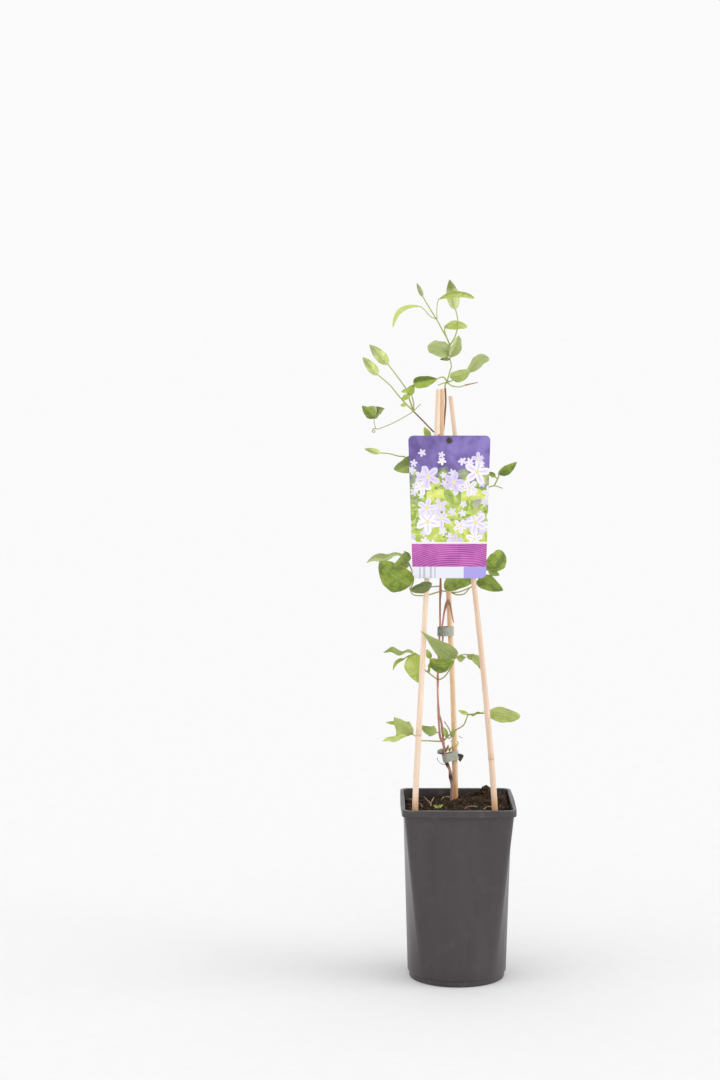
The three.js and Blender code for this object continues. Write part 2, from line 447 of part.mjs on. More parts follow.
const FOLIAGE = {
  seedling: {
    finish: BUD_GREEN,
    shoots: [SEEDLING],
    blades: [
      { from: [-23, -7.8, 206.6], to: [-29.5, -7, 210], width: 4.5 },
      { from: [-23, -7.8, 206.4], to: [-16.8, -7, 208.6], width: 4 },
    ],
  },
  low_leaves_left: {
    finish: LEAF_GREEN,
    stalks: [
      [[-19, 32.8, 278], [-35, 10, 283], [-44, -12, 288], [-50, -16, 293], [-55, -18, 297]],
      [[-53, -18, 296], [-63, -20, 296]],
      [[-54, -18, 297], [-64, -16, 304]],
    ],
    blades: [
      { from: [-54, -18, 297], to: [-76, -16, 316], width: 20, roll: -20, lobes: [0.45] },
      { from: [-61, -20, 296], to: [-90, -30, 290], width: 12, roll: 62, arch: -0.05 },
      { from: [-63, -16, 303], to: [-86, -6, 308], width: 9, roll: 62 },
    ],
  },
  low_leaf_middle: {
    finish: LEAF_GREEN,
    stalks: [[[-20.5, 31, 290], [-24, 19, 291], [-25, 10, 293]]],
    blades: [{ from: [-25, 10.5, 293], to: [-46, 0, 304], width: 12, roll: -10, lobes: [0.3] }],
  },
  low_sprig: {
    finish: LEAF_GREEN,
    stalks: [
      [[-17, 32.8, 289], [-13, 28, 285], [-9, 26, 283], [-6, 26, 286]],
      [[-6, 26, 285], [-9, 25, 294], [-15, 24, 304]],
    ],
    blades: [
      { from: [-12, 27.3, 284.5], to: [-17, 18, 299], width: 6, roll: 20 },
      { from: [-6.5, 26, 285], to: [-2, 21, 295], width: 6, roll: -20 },
    ],
  },
  low_leaves_right: {
    finish: LEAF_GREEN,
    stalks: [
      [[-15.6, 34, 278], [-9, 30, 286], [-1, 22, 294], [7, 8, 302], [10, 0, 310], [12, -5, 318]],
      [[12, -5, 317], [22, -2, 318], [36, 0, 318]],
    ],
    blades: [
      { from: [12, -5, 318], to: [0, -8, 323], width: 5 },
      { from: [13, -4, 318], to: [33, -1, 322], width: 9, roll: 65 },
      { from: [34, 0, 318], to: [75, 6, 313], width: 19, roll: 20, lift: 0.08, fold: 0.1 },
    ],
  },
  middle_leaves_front: {
    finish: LEAF_GREEN,
    stalks: [
      [[-22.9, 26.6, 354], [-19, 10, 358], [-14, 0, 364], [-10, -4, 371], [-6, -6, 378], [-4, -8, 387]],
      [[-4, -7.5, 385], [4, -6, 389], [13, -3, 389], [19, 1, 389]],
    ],
    blades: [
      { from: [-4, -8, 386], to: [-47, -43, 424], width: 21, roll: -20, arch: 0.05, lift: 0.03 },
      { from: [-5, -7, 380], to: [-34, -9, 378], width: 18, roll: -10, widest: 0.55, arch: 0.05 },
      { from: [-1, -7, 385], to: [10, -3, 391], width: 9, roll: 30 },
      { from: [11, -4, 389.5], to: [16, -1, 382], width: 5 },
      { from: [18, 1, 389.5], to: [29, -5, 364], width: 12, roll: 15, lift: 0.12 },
    ],
  },
  middle_leaves_left: {
    finish: LEAF_GREEN,
    stalks: [
      [[-22.9, 26.6, 354], [-28, 18, 359], [-34, 8, 365], [-39, 0, 370], [-46, 3, 380], [-51, -5, 391]],
      [[-34, 8, 365], [-33, 3, 376], [-33, 0, 386]],
      [[-36, 5, 367], [-34, 0, 373]],
      [[-51, -5, 390], [-59, -3, 387], [-65, -1, 383]],
    ],
    blades: [
      { from: [-51, -5, 391], to: [-47, -2, 355], width: 23, roll: 15 },
      { from: [-51, -5, 390], to: [-90, -5, 395], width: 14, roll: 72, arch: 0.03, wave: 0.16 },
      { from: [-63, -2, 384], to: [-78, 0, 369], width: 6, roll: 20 },
      { from: [-33, 0, 384], to: [-37, -4, 396], width: 7 },
      { from: [-34, 0, 372], to: [-32, -4, 381], width: 5 },
    ],
  },
  upper_leaves_left: {
    finish: LEAF_DEEP,
    stalks: [
      [[-20.4, 18.4, 462], [-33, 4, 460], [-45, -8, 460], [-54, -12, 462], [-58, -14, 470]],
      [[-57, -14, 468], [-53, -12, 480], [-57, -6, 495], [-63, -4, 507]],
      [[-57, -6, 495], [-64, -1, 497]],
      [[-59, -5, 500], [-63, -2, 503]],
    ],
    blades: [
      { from: [-57, -14, 469], to: [-94, -20, 501], width: 31, roll: -10, widest: 0.46, fold: 0.08 },
      { from: [-61, -4, 506], to: [-111, -14, 499], width: 20, roll: 55, lift: 0.12, wave: 0.12 },
      { from: [-62, -1, 497], to: [-80, -4, 503], width: 14, roll: -30, fold: 0.3 },
      { from: [-62, -2, 502], to: [-58, 4, 512], width: 8, roll: 20 },
    ],
  },
  upper_leaf_front: {
    finish: LEAF_GREY,
    stalks: [[[-20.4, 17.9, 468], [-26, 8, 469], [-31, -4, 470], [-32.5, -20, 472], [-33, -31, 476]]],
    blades: [{ from: [-32.5, -30, 476], to: [-59, -37, 470], width: 15, roll: -10, widest: 0.45 }],
  },
  upper_leaves_right: {
    finish: LEAF_GREEN,
    stalks: [
      [[-20.4, 18.4, 462], [-17, 28.5, 461], [-8, 29.5, 459.5], [2, 20, 461], [12, 12, 466], [25, 4, 474]],
      [[-8, 29.5, 459.5], [0, 24, 457], [8, 18, 459], [14, 10.5, 467]],
      [[16, 9.5, 468], [20, 5, 474], [21, 5, 481]],
      [[24, 5, 473], [26, 3, 484], [33, 0, 494]],
    ],
    blades: [
      { from: [21, 5, 479], to: [-18, -4, 471], width: 21, roll: 8, lift: 0.1, widest: 0.5 },
      { from: [24, 4, 473], to: [54, 0, 465], width: 18, roll: 12, lift: 0.14 },
      { from: [30, 0, 492], to: [57, 4, 505], width: 21, roll: 10, widest: 0.58 },
      { from: [32, -1, 492], to: [50, 2, 485], width: 8, roll: 20 },
    ],
  },
  bud_beside_label: {
    finish: LEAF_GREEN,
    stalks: [
      [[-21.7, 17.2, 600], [-40, 0, 608], [-56, -4, 617], [-64, -6, 624], [-71, -8, 625], [-82, -10, 628],
        [-93, -12, 629]],
      [[-40, 0, 608], [-45, -5, 618], [-51.4, -8, 626.5]],
    ],
    blades: [{ from: [-51.4, -8, 626.5], to: [-77, -14, 612], width: 20, arch: 0.04, fold: 0.1 }],
    buds: [{ from: [-92, -12, 629], to: [-111, -14, 634], width: 7 }],
  },
  leaf_above_label: {
    finish: LEAF_GREEN,
    stalks: [[[-20.2, 16, 634], [-29, 4, 635], [-34, -2, 642], [-35, -3, 648]]],
    blades: [{ from: [-34.5, -3, 646], to: [-41, -4, 659], width: 8 }],
  },
  leaves_beside_label: {
    finish: LEAF_DEEP,
    stalks: [
      [[-21.8, 17.3, 590], [-17, 20, 588], [-5, 16, 586], [13, 10, 584], [34, 6, 587], [43, 4, 589],
        [52, 4, 586]],
      [[42, 4, 589], [47, 4, 599], [48, 4, 604]],
      [[46, 4, 597], [42, 2, 601]],
    ],
    blades: [
      { from: [47, 4, 603], to: [69, 8, 617], width: 12, roll: 20 },
      { from: [43, 2, 600], to: [35, 0, 606], width: 6 },
    ],
  },
  left_bud_spray: {
    finish: BUD_GREEN,
    stalks: [
      [[-53.2, -4, 677], [-64, -6, 688], [-72, -8, 697], [-81, -10, 708], [-96, -12, 721]],
      [[-54, -4, 678], [-59, -3, 694], [-62, -2, 703], [-74, 0, 720], [-84, 2, 733]],
      [[-53, -4, 677], [-54, -6, 690], [-57, -5, 698], [-60, -3, 701]],
    ],
    threads: [
      [[-45, -4, 686], [-51, -5, 680], [-54, -5, 677], [-64, -6, 671], [-77, -8, 664], [-89, -9, 659],
        [-97, -10, 657], [-99, -9, 662], [-100, -8, 669]],
      [[-97, -10, 657], [-100, -11, 655]],
    ],
    blades: [
      { from: [-60, -4, 697], to: [-53, -6, 709], width: 10 },
      { from: [-58, -5, 696], to: [-68, -7, 690], width: 7, roll: 20 },
      { from: [-61, -3, 701], to: [-68, -3, 700], width: 5, roll: 30 },
      { from: [-62, -6, 686], to: [-69, -7, 684], width: 5 },
      { from: [-99.5, -8, 668], to: [-101, -22, 685], width: 28, fold: 0.2, widest: 0.74 },
      { from: [-99, -11, 656], to: [-104, -12, 651], width: 5 },
    ],
    buds: [
      { from: [-95, -12, 720], to: [-113, -16, 741], width: 12 },
      { from: [-83, 2, 732], to: [-105, 4, 755], width: 14 },
    ],
  },
  top_shoot: {
    finish: BUD_GREEN,
    stalks: [
      [[-16, 6.6, 703], [-16.2, 6, 707], [-14, 5, 712], [-11, 3, 723], [-9, 2, 730], [-11, 1, 740],
        [-11, 0, 756]],
      [[-11, 0, 755], [-15, -1, 764], [-18, -1, 769], [-25, -2, 782], [-30, -2, 790], [-38, -3, 803],
        [-44, -4, 813]],
      [[-11, 0, 754], [-5, 2, 764], [-2, 3, 775], [-2, 3, 786], [-5, 3, 799]],
      [[-15, -1, 764], [-17, 4, 772], [-16, 8, 777]],
      [[-14, 5, 712], [-18, 1, 717], [-22, -1, 717], [-26, -2, 715]],
      [[-14, 5, 711], [-19, -2, 710], [-25, -8, 708]],
      [[-14, 5, 711], [-8, -4, 707], [0, -5, 706], [7, -4, 708], [22, 0, 711]],
      [[-13, 5, 712], [-10, 3, 712], [-7, 3, 714]],
    ],
    threads: [
      [[-27, -2, 785], [-32, -4, 787], [-36, -5, 790], [-41, -6, 796], [-46, -7, 800]],
      [[-26, -2, 784], [-26.5, -5, 794], [-26, -7, 803], [-23, -8, 812]],
    ],
    blades: [
      { from: [-45.5, -7, 799.6], to: [-79, -10, 775], width: 8, roll: 15, lift: 0.2 },
      { from: [-24, -8, 811], to: [18, -6, 811], width: 13, roll: 30, lift: 0.1 },
      { from: [-16, 8, 776], to: [11, 10, 779], width: 12, roll: 10, lift: 0.1 },
      { from: [-11, 1, 742], to: [-37, -6, 760], width: 16, roll: -10, lift: 0.08, widest: 0.62 },
      { from: [-11, 1, 741], to: [-2, -5, 766], width: 13, roll: 30, fold: 0.4 },
      { from: [-11, 1, 738], to: [-23, -4, 738], width: 4 },
      { from: [-25, -1.8, 715.4], to: [-54, -8, 712], width: 14, roll: -10, widest: 0.7 },
      { from: [-9, 3, 714], to: [15, 0, 727], width: 15, roll: -10, lift: -0.08 },
      { from: [12, 1, 724], to: [36, 4, 737], width: 16, roll: 15, lift: 0.16, widest: 0.45 },
    ],
    buds: [
      { from: [-43, -4, 811], to: [-50, -5, 827], width: 5.5 },
      { from: [-5, 3, 797], to: [-10, 2, 831], width: 15 },
    ],
  },
};

for (const [name, spray] of Object.entries(FOLIAGE)) {
  const { finish, shoots = [], stalks = [], threads = [], blades = [], buds = [] } = spray;
  const grown = join([...shoots.map((points) => shoot(points)), ...stalks.map(stalk),
    ...threads.map(thread), ...blades.map(blade), ...buds.map(bud)]);
  place(name, surface(grown.subtract(stemsWithClearance)), finish);
}

export default plant;
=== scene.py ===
import math
import random

import bpy
import numpy as np
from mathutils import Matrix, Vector, noise


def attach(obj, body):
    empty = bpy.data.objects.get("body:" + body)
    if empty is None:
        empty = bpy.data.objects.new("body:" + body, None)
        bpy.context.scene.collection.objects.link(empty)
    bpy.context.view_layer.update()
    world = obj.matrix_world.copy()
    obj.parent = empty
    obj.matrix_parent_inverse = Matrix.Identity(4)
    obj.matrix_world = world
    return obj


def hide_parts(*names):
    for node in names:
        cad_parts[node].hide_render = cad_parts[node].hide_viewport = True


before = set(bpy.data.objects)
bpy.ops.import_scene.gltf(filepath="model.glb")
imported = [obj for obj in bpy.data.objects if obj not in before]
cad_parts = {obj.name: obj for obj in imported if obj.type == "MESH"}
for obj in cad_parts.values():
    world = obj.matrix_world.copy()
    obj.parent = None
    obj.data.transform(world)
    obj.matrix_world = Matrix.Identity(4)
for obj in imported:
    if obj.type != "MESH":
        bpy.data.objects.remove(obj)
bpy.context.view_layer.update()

MM = 0.001

# ---- pot ----
# A nursery pot, injection moulded in dark grey polypropylene with a fine matt skin: round at the foot and
# square at the rim, which is turned down for stiffness, with drain holes in the floor. Dust and wet peat
# have dried on it near the rim and in the step above the foot.
POT_HEIGHT, POT_BODY_HALF, POT_CORNER, POT_FOOT_RADIUS = 214, 64.5, 9, 59
POT_FOOT_STEP, POT_FOOT_RING, POT_WALL, POT_FLOOR = 2, 7, 1.6, 2.4
RIM_LIP, RIM_SKIRT, RIM_EASE = 3.5, 8, 0.7
DRAIN_RADIUS, DRAIN_CIRCLE, DRAIN_COUNT = 4.5, 40, 6
DUSTY_RIM, DUSTY_FOOT, DUST_SHARE = (0.196, 0.213), (0.012, 0.003), 0.3  # metres up, none to most


def node(tree, kind, feeds=None, **settings):
    """A new node with its settings, and each named input linked or set."""
    made = tree.nodes.new(kind)
    for key, value in settings.items():
        setattr(made, key, value)
    for key, value in (feeds or {}).items():
        socket = made.inputs[key]
        if isinstance(value, bpy.types.NodeSocket):
            tree.links.new(value, socket)
        else:
            socket.default_value = value
    return made


def first(tree, kind, feeds=None, **settings):
    """The first output of a new node."""
    return node(tree, kind, feeds, **settings).outputs[0]


def calc(tree, operation, a, b=0.0):
    """A sum on one or two values."""
    return first(tree, "ShaderNodeMath", {0: a, 1: b}, operation=operation)


def times(tree, a, b):
    """Two values multiplied."""
    return calc(tree, "MULTIPLY", a, b)


def plus(tree, a, b):
    """Two values added."""
    return calc(tree, "ADD", a, b)


def vectors(tree, operation, a, b):
    """Vector a joined with vector b, or scaled by the number b."""
    return first(tree, "ShaderNodeVectorMath", {0: a, "Scale" if operation == "SCALE" else 1: b},
                 operation=operation)


def ramp(tree, value, low, high, to_low=0.0, to_high=1.0):
    """The value eased from low..high to to_low..to_high."""
    return first(tree, "ShaderNodeMapRange", {"Value": value, "From Min": low, "From Max": high,
                 "To Min": to_low, "To Max": to_high}, interpolation_type="SMOOTHSTEP")


def tint(hex_code):
    """A colour as seen on a screen, made linear."""
    parts = [int(hex_code[i:i + 2], 16) / 255 for i in (1, 3, 5)]
    return tuple(p / 12.92 if p <= 0.04045 else ((p + 0.055) / 1.055) ** 2.4 for p in parts) + (1,)


def blend(tree, share, a, b):
    """Colour a going over to colour b, each a hex code or a node's output."""
    a, b = [tint(colour) if isinstance(colour, str) else colour for colour in (a, b)]
    return node(tree, "ShaderNodeMix", {0: share, 6: a, 7: b}, data_type="RGBA").outputs[2]


def wash(tree, colour, mask, share, over):
    """The colour with another laid over it, by that share where the mask is 1."""
    return blend(tree, times(tree, mask, share), colour, over)


def finish(name, **sockets):
    """A material with its Principled surface: returns material, tree and surface."""
    material = bpy.data.materials.new(name)
    material.use_nodes = True
    surface = material.node_tree.nodes["Principled BSDF"]
    for key, value in sockets.items():
        surface.inputs[key.replace("_", " ").title().replace("Ior", "IOR")].default_value = value
    return material, material.node_tree, surface


def cover(tree, surface, colour, relief=None, depth=0.0, strength=1.0):
    """Gives the surface its colour and, as a bump of a depth in metres, its relief."""
    tree.links.new(colour, surface.inputs["Base Color"])
    if relief:
        made = first(tree, "ShaderNodeBump", {"Height": relief, "Distance": depth, "Strength": strength})
        tree.links.new(made, surface.inputs["Normal"])


def group(name, inputs, outputs, kind="ShaderNodeTree"):
    """An empty node group with named sockets: returns tree, its inputs and its output node."""
    tree = bpy.data.node_groups.new(name, kind)
    for label, holds, *value in inputs:
        socket = tree.interface.new_socket(label, in_out="INPUT", socket_type="NodeSocket" + holds)
        if value:
            socket.default_value = value[0]
    for label, holds in outputs:
        tree.interface.new_socket(label, in_out="OUTPUT", socket_type="NodeSocket" + holds)
    return tree, tree.nodes.new("NodeGroupInput").outputs, tree.nodes.new("NodeGroupOutput")


# Cloudy speckle at one scale, shared by every finish.
SPECKLE, given, out = group(
    "speckle", [("Vector", "Vector"), ("Scale", "Float", 100.0), ("Detail", "Float", 4.0),
                ("Low", "Float", 0.4), ("High", "Float", 0.6)], [("Mask", "Float")])
cloud = first(SPECKLE, "ShaderNodeTexNoise", {"Vector": given["Vector"], "Scale": given["Scale"],
              "Detail": given["Detail"], "Roughness": 0.6})
SPECKLE.links.new(ramp(SPECKLE, cloud, given["Low"], given["High"]), out.inputs["Mask"])


def speckle(tree, vector, scale, low=0.4, high=0.6, detail=4.0):
    """A cloudy mask: 0 where its noise is under low, 1 where it is over high."""
    return first(tree, "ShaderNodeGroup", {"Vector": vector, "Scale": scale, "Low": low, "High": high,
                 "Detail": detail}, node_tree=SPECKLE)


def place_of(tree):
    """The point's place on the object, in metres."""
    return node(tree, "ShaderNodeTexCoord").outputs["Object"]


def split(tree, vector):
    """A vector's X, Y and Z."""
    return node(tree, "ShaderNodeSeparateXYZ", {"Vector": vector}).outputs


def stretched(tree, vector, *scale):
    """The place scaled by x, y and z: a pattern read there is drawn out where the scale is small."""
    return first(tree, "ShaderNodeMapping", {"Vector": vector, "Scale": scale})


def piece(name, points, faces, materials, smooth_below=40):
    """A mesh object at the origin from points in millimetres."""
    mesh = bpy.data.meshes.new(name)
    mesh.from_pydata((np.asarray(points, float) * MM).tolist(), [], faces)
    for material in materials:
        mesh.materials.append(material)
    mesh.shade_smooth()
    mesh.set_sharp_from_angle(angle=math.radians(smooth_below))
    mesh.update()
    made = bpy.data.objects.new(name, mesh)
    bpy.context.scene.collection.objects.link(made)
    return made


def carry(obj, kind, name, values):
    """Stores a value on each point of the object's mesh, for its material or its node tree."""
    slot = obj.data.attributes.new(name, kind, "POINT").data
    slot.foreach_set("value" if kind == "FLOAT" else "vector", np.asarray(values, np.float32).ravel())


def loft(rings):
    """Points and faces of a closed skin over rings that turn left seen from above the last."""
    rings = [np.asarray(r, float) for r in rings]
    count, sides = len(rings), len(rings[0])
    points = np.concatenate([*rings, [rings[0].mean(0)], [rings[-1].mean(0)]])
    faces = [(r * sides + s, r * sides + (s + 1) % sides, (r + 1) * sides + (s + 1) % sides,
              (r + 1) * sides + s) for r in range(count - 1) for s in range(sides)]
    foot, head, last = count * sides, count * sides + 1, (count - 1) * sides
    faces += [(foot, (s + 1) % sides, s) for s in range(sides)]
    faces += [(head, last + s, last + (s + 1) % sides) for s in range(sides)]
    return points, faces


def ring_of(count):
    """The angles of points spaced evenly round a circle."""
    return np.linspace(0, 2 * math.pi, count, endpoint=False)


def settle(obj, name):
    """The object as its modifiers leave it, as a plain mesh."""
    shaped = obj.evaluated_get(bpy.context.evaluated_depsgraph_get())
    mesh = bpy.data.meshes.new_from_object(shaped)
    mesh.name = name
    made = bpy.data.objects.new(name, mesh)
    bpy.context.scene.collection.objects.link(made)
    bpy.data.objects.remove(obj)
    made.name = name
    return made


# The wall follows a rounded square, with its points closest together round the corners.
CORNER_TURN = np.radians([*np.linspace(0, 38, 13), *np.linspace(40, 50, 9), *np.linspace(52, 87, 12)])
POT_ANGLES = np.concatenate([CORNER_TURN + q * math.pi / 2 for q in range(4)])


def square_radius(angle, half, corner):
    """How far a rounded square's edge is from its middle."""
    folded = abs((angle + math.pi / 4) % (math.pi / 2) - math.pi / 4)
    inner = half - corner
    if half * math.tan(folded) <= inner:
        return half / math.cos(folded)
    along = inner * (math.cos(folded) + math.sin(folded))
    return along + math.sqrt(along * along - 2 * inner * inner + corner * corner)


POT_SQUARE = np.array([square_radius(a, POT_BODY_HALF, POT_CORNER) for a in POT_ANGLES])


def pot_ring(z, inset):
    """The pot's outline at height z, moved in by inset: a circle at the foot, a square at the rim."""
    straight = (z - POT_FOOT_RING) / (POT_HEIGHT - RIM_SKIRT - POT_FOOT_RING)
    around = min(1, max(0, 1 - straight))
    radius = POT_SQUARE * (1 - around) + POT_FOOT_RADIUS * around - inset
    return np.stack([radius * np.cos(POT_ANGLES), radius * np.sin(POT_ANGLES), np.full(len(radius), z)], 1)


# The pot's section as (height, inset): up the outside, over the rim and its skirt, and down inside.
top, skirt, ledge = POT_HEIGHT, POT_HEIGHT - RIM_SKIRT, POT_HEIGHT - POT_WALL - 0.6
lip, step, ring_top = -RIM_LIP + POT_WALL, POT_FOOT_STEP, POT_FOOT_RING
heights = np.linspace(ring_top + 1.4, skirt - 4, 16)
turn = np.linspace(0, math.pi / 2, 5)
profile = [(0, step + 1.2), (0.35, step + 0.4), (1.2, step), (ring_top - 0.4, step),
           (ring_top + 0.2, step - 0.5), (ring_top + 0.9, 0.3)]
profile += [(z, 0) for z in heights]
profile += [(skirt, 0), (ledge, 0), (ledge, lip), (skirt + 0.3, lip), (skirt, lip - 0.3),
            (skirt, -RIM_LIP + 0.3), (skirt + 0.3, -RIM_LIP)]
profile += [(top - RIM_EASE + RIM_EASE * math.sin(t), -RIM_LIP + RIM_EASE * (1 - math.cos(t)))
            for t in turn]
profile += [(top - RIM_EASE + RIM_EASE * math.cos(t), POT_WALL - RIM_EASE + RIM_EASE * math.sin(t))
            for t in turn]
profile += [(skirt, POT_WALL)] + [(z, POT_WALL) for z in heights[::-1]]
profile += [(ring_top + 3, POT_WALL), (POT_FLOOR + 1.5, step + POT_WALL),
            (POT_FLOOR, step + POT_WALL + 1.5)]

pot_plastic, tree, surface = finish("pot_plastic", roughness=0.4, specular_ior_level=0.5)
here = place_of(tree)
height = split(tree, here)["Z"]
streaks = speckle(tree, stretched(tree, here, 40, 40, 3), 1.2, 0.3, 0.75)
grain = speckle(tree, here, 900, 0.3, 0.7, 3)
dust = speckle(tree, here, 70, 0.52, 0.8, 7)
smudge = speckle(tree, stretched(tree, here, 1, 1, 0.4), 22, 0.52, 0.75, 3)
near_edge = plus(tree, ramp(tree, height, *DUSTY_RIM), ramp(tree, height, *DUSTY_FOOT))
dusty = times(tree, dust, plus(tree, 0.1, times(tree, near_edge, DUST_SHARE)))
grey = blend(tree, streaks, "#393335", "#3f393a")
grey = wash(tree, grey, smudge, 0.35, "#2c2728")
grey = blend(tree, dusty, grey, "#7d7168")
dullness = plus(tree, dusty, times(tree, streaks, 0.3))
tree.links.new(ramp(tree, dullness, 0, 0.7, 0.33, 0.62), surface.inputs["Roughness"])
cover(tree, surface, grey, plus(tree, times(tree, grain, 0.4), streaks), 0.00012, 0.5)

pot = piece("pot_shell", *loft([pot_ring(*level) for level in profile]), [pot_plastic])
drill_points, drill_faces = [], []
for i in range(DRAIN_COUNT):
    angle = 2 * math.pi * (i + 0.5) / DRAIN_COUNT
    at = np.array([DRAIN_CIRCLE * math.cos(angle), DRAIN_CIRCLE * math.sin(angle), 0])
    rim = np.array([[DRAIN_RADIUS * math.cos(a), DRAIN_RADIUS * math.sin(a), 0] for a in ring_of(28)])
    points, faces = loft([rim + at - [0, 0, 4], rim + at + [0, 0, 8]])
    drill_faces += [tuple(v + len(drill_points) for v in f) for f in faces]
    drill_points += points.tolist()
drill = piece("drill", drill_points, drill_faces, [])
cut = pot.modifiers.new("drains", "BOOLEAN")
cut.object, cut.operation, cut.solver = drill, "DIFFERENCE", "EXACT"
pot = settle(pot, "pot_shell")
bpy.data.objects.remove(drill)
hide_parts("pot")
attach(pot, "root")

# ---- soil ----
# Coarse dark peat, filled in by hand and heaped a little at the back right, with clods, crumbs, pale straw
# and root fibres on it. It shades from wet black-brown in the hollows to dry brown on the heap.
SOIL_LEVEL, SOIL_MOUND, OPEN_RADIUS = 204.5, 7, 62
MOUND_ACROSS, MOUND_BACK = [-20, 50], [-50, 40]  # between these the bed rises to its heap
HOLLOWS, LUMPS, CRACKS = 1.2, 1.6, 1.6           # how high or deep the bed's unevenness goes
DRY_PEAT = (0.2035, 0.215)                       # metres up, from damp to dry
CLODS = [(37, 49, 216, 6), (28, 46, 212, 4.5), (24, 14, 209.5, 5), (48, 20, 211.5, 4.5)]
STRAWS = [  # thin straws and a pale curl of root that lie on the bed
    [(-38.6, 40, 208.6), (-34.4, 22, 207.6), (-31.5, 8, 207), (-31.7, -3, 206.6)],
    [(-31.5, 8, 207), (-29.4, 20, 208.4), (-27.1, 34, 209)],
    [(-61, 34, 206.4), (-56.5, 30, 208.2), (-51, 27, 206.8)],
    [(-47, 14, 206.4), (-44, 4, 207.6), (-41.5, -8, 206.4)],
    [(-18.6, 30, 206.4), (-16.5, 33, 208.8), (-11.5, 35, 210), (-7.2, 33.5, 209), (-5.4, 30, 206.8)],
    [(8, -20, 207), (13, -16, 208.6), (23, -13, 208.4)],
    [(30, -30, 208.6), (36, -22, 210), (41, -23, 209.6)],
]
STRAW_RADII = [0.42, 0.5, 0.6, 0.45, 0.3]


def shaping_tree(name, *inputs):
    """An empty node tree for a modifier, which takes a mesh and gives one back."""
    made = group(name, [("Geometry", "Geometry"), *inputs], [("Geometry", "Geometry")], "GeometryNodeTree")
    made[0].is_modifier = True
    return made


def shape_with(obj, tree, name, **values):
    """The object as a node tree leaves it, with the tree's inputs set by their sockets' identifiers."""
    modifier = obj.modifiers.new("shaping", "NODES")
    modifier.node_group = tree
    for item in tree.interface.items_tree:
        key = item.name.lower().replace(" ", "_")
        if item.in_out == "INPUT" and key in values:
            modifier[item.identifier] = values[key]
    return settle(obj, name)


def stored(tree, geometry, name, value, kind="FLOAT", on="POINT", **more):
    """The geometry with a value stored on it under a name."""
    feeds = {"Geometry": geometry, "Name": name, "Value": value, **more}
    return first(tree, "GeometryNodeStoreNamedAttribute", feeds, data_type=kind, domain=on)


def named(tree, name, kind="FLOAT"):
    """What the geometry has stored under a name."""
    return first(tree, "GeometryNodeInputNamedAttribute", {"Name": name}, data_type=kind)


def made_of(tree, geometry, material):
    return first(tree, "GeometryNodeSetMaterial", {"Geometry": geometry, "Material": material})


def realized(tree, geometry):
    return first(tree, "GeometryNodeRealizeInstances", {"Geometry": geometry})


# A round stem along each line of a mesh: ridged by noise, with a bore in its cut ends if asked for.
STEM, given, out = shaping_tree(
    "stem_round_its_path", ("Spacing", "Float", 0.002), ("Sides", "Int", 12),
    ("Ridge Height", "Float", 0.0001), ("Ridge Scale", "Float", 3.0), ("Bore Depth", "Float", 0.0),
    ("Seed", "Int", 3), ("Material", "Material"))
line = first(STEM, "GeometryNodeMeshToCurve", {"Mesh": given["Geometry"]})
line = first(STEM, "GeometryNodeResampleCurve", {"Curve": line, "Length": given["Spacing"]}, mode="LENGTH")
line = stored(STEM, line, "along", node(STEM, "GeometryNodeSplineParameter").outputs["Length"])
circle = first(STEM, "GeometryNodeCurvePrimitiveCircle", {"Resolution": given["Sides"], "Radius": 1.0})
circle = stored(STEM, circle, "around", first(STEM, "GeometryNodeInputPosition"), "FLOAT_VECTOR")
skin = first(STEM, "GeometryNodeCurveToMesh", {"Curve": line, "Profile Curve": circle,
             "Scale": named(STEM, "thick"), "Fill Caps": True})
lifted = first(STEM, "ShaderNodeCombineXYZ", {"Z": times(STEM, named(STEM, "along"), 60.0)})
on_skin = vectors(STEM, "ADD", named(STEM, "around", "FLOAT_VECTOR"), lifted)
ridges = first(STEM, "ShaderNodeTexNoise", {"Vector": on_skin, "Scale": given["Ridge Scale"], "Detail": 3.0,
               "W": given["Seed"]}, noise_dimensions="4D")
ridges = times(STEM, calc(STEM, "SUBTRACT", ridges, 0.5), plus(STEM, named(STEM, "mark"), 0.3))
push = vectors(STEM, "SCALE", first(STEM, "GeometryNodeInputNormal"),
               times(STEM, ridges, given["Ridge Height"]))
skin = first(STEM, "GeometryNodeSetPosition", {"Geometry": skin, "Offset": push})
is_cap = first(STEM, "FunctionNodeCompare", {2: first(STEM, "GeometryNodeInputMeshFaceNeighbors"), 3: 4},
               data_type="INT", operation="GREATER_THAN")
bored = first(STEM, "FunctionNodeCompare", {0: given["Bore Depth"], 1: 0.0}, operation="GREATER_THAN")
is_cap = first(STEM, "FunctionNodeBooleanMath", {0: is_cap, 1: bored}, operation="AND")
rimmed = node(STEM, "GeometryNodeExtrudeMesh", {"Mesh": skin, "Selection": is_cap, "Offset Scale": 0.0,
              "Individual": True}, mode="FACES").outputs
narrowed = first(STEM, "GeometryNodeScaleElements", {"Geometry": rimmed["Mesh"], "Selection": rimmed["Top"],
                 "Scale": 0.42}, domain="FACE")
sunk = node(STEM, "GeometryNodeExtrudeMesh", {"Mesh": narrowed, "Selection": rimmed["Top"],
            "Offset Scale": times(STEM, given["Bore Depth"], -1.0), "Individual": True},
            mode="FACES").outputs
# The bore's floor is stored as 'end', for the cane skin to paint dark as shade.
body = stored(STEM, sunk["Mesh"], "end", 1.0, on="FACE", Selection=sunk["Top"])
body = first(STEM, "GeometryNodeSetShadeSmooth", {"Geometry": body, "Shade Smooth": True})
STEM.links.new(made_of(STEM, realized(STEM, body), given["Material"]), out.inputs["Geometry"])


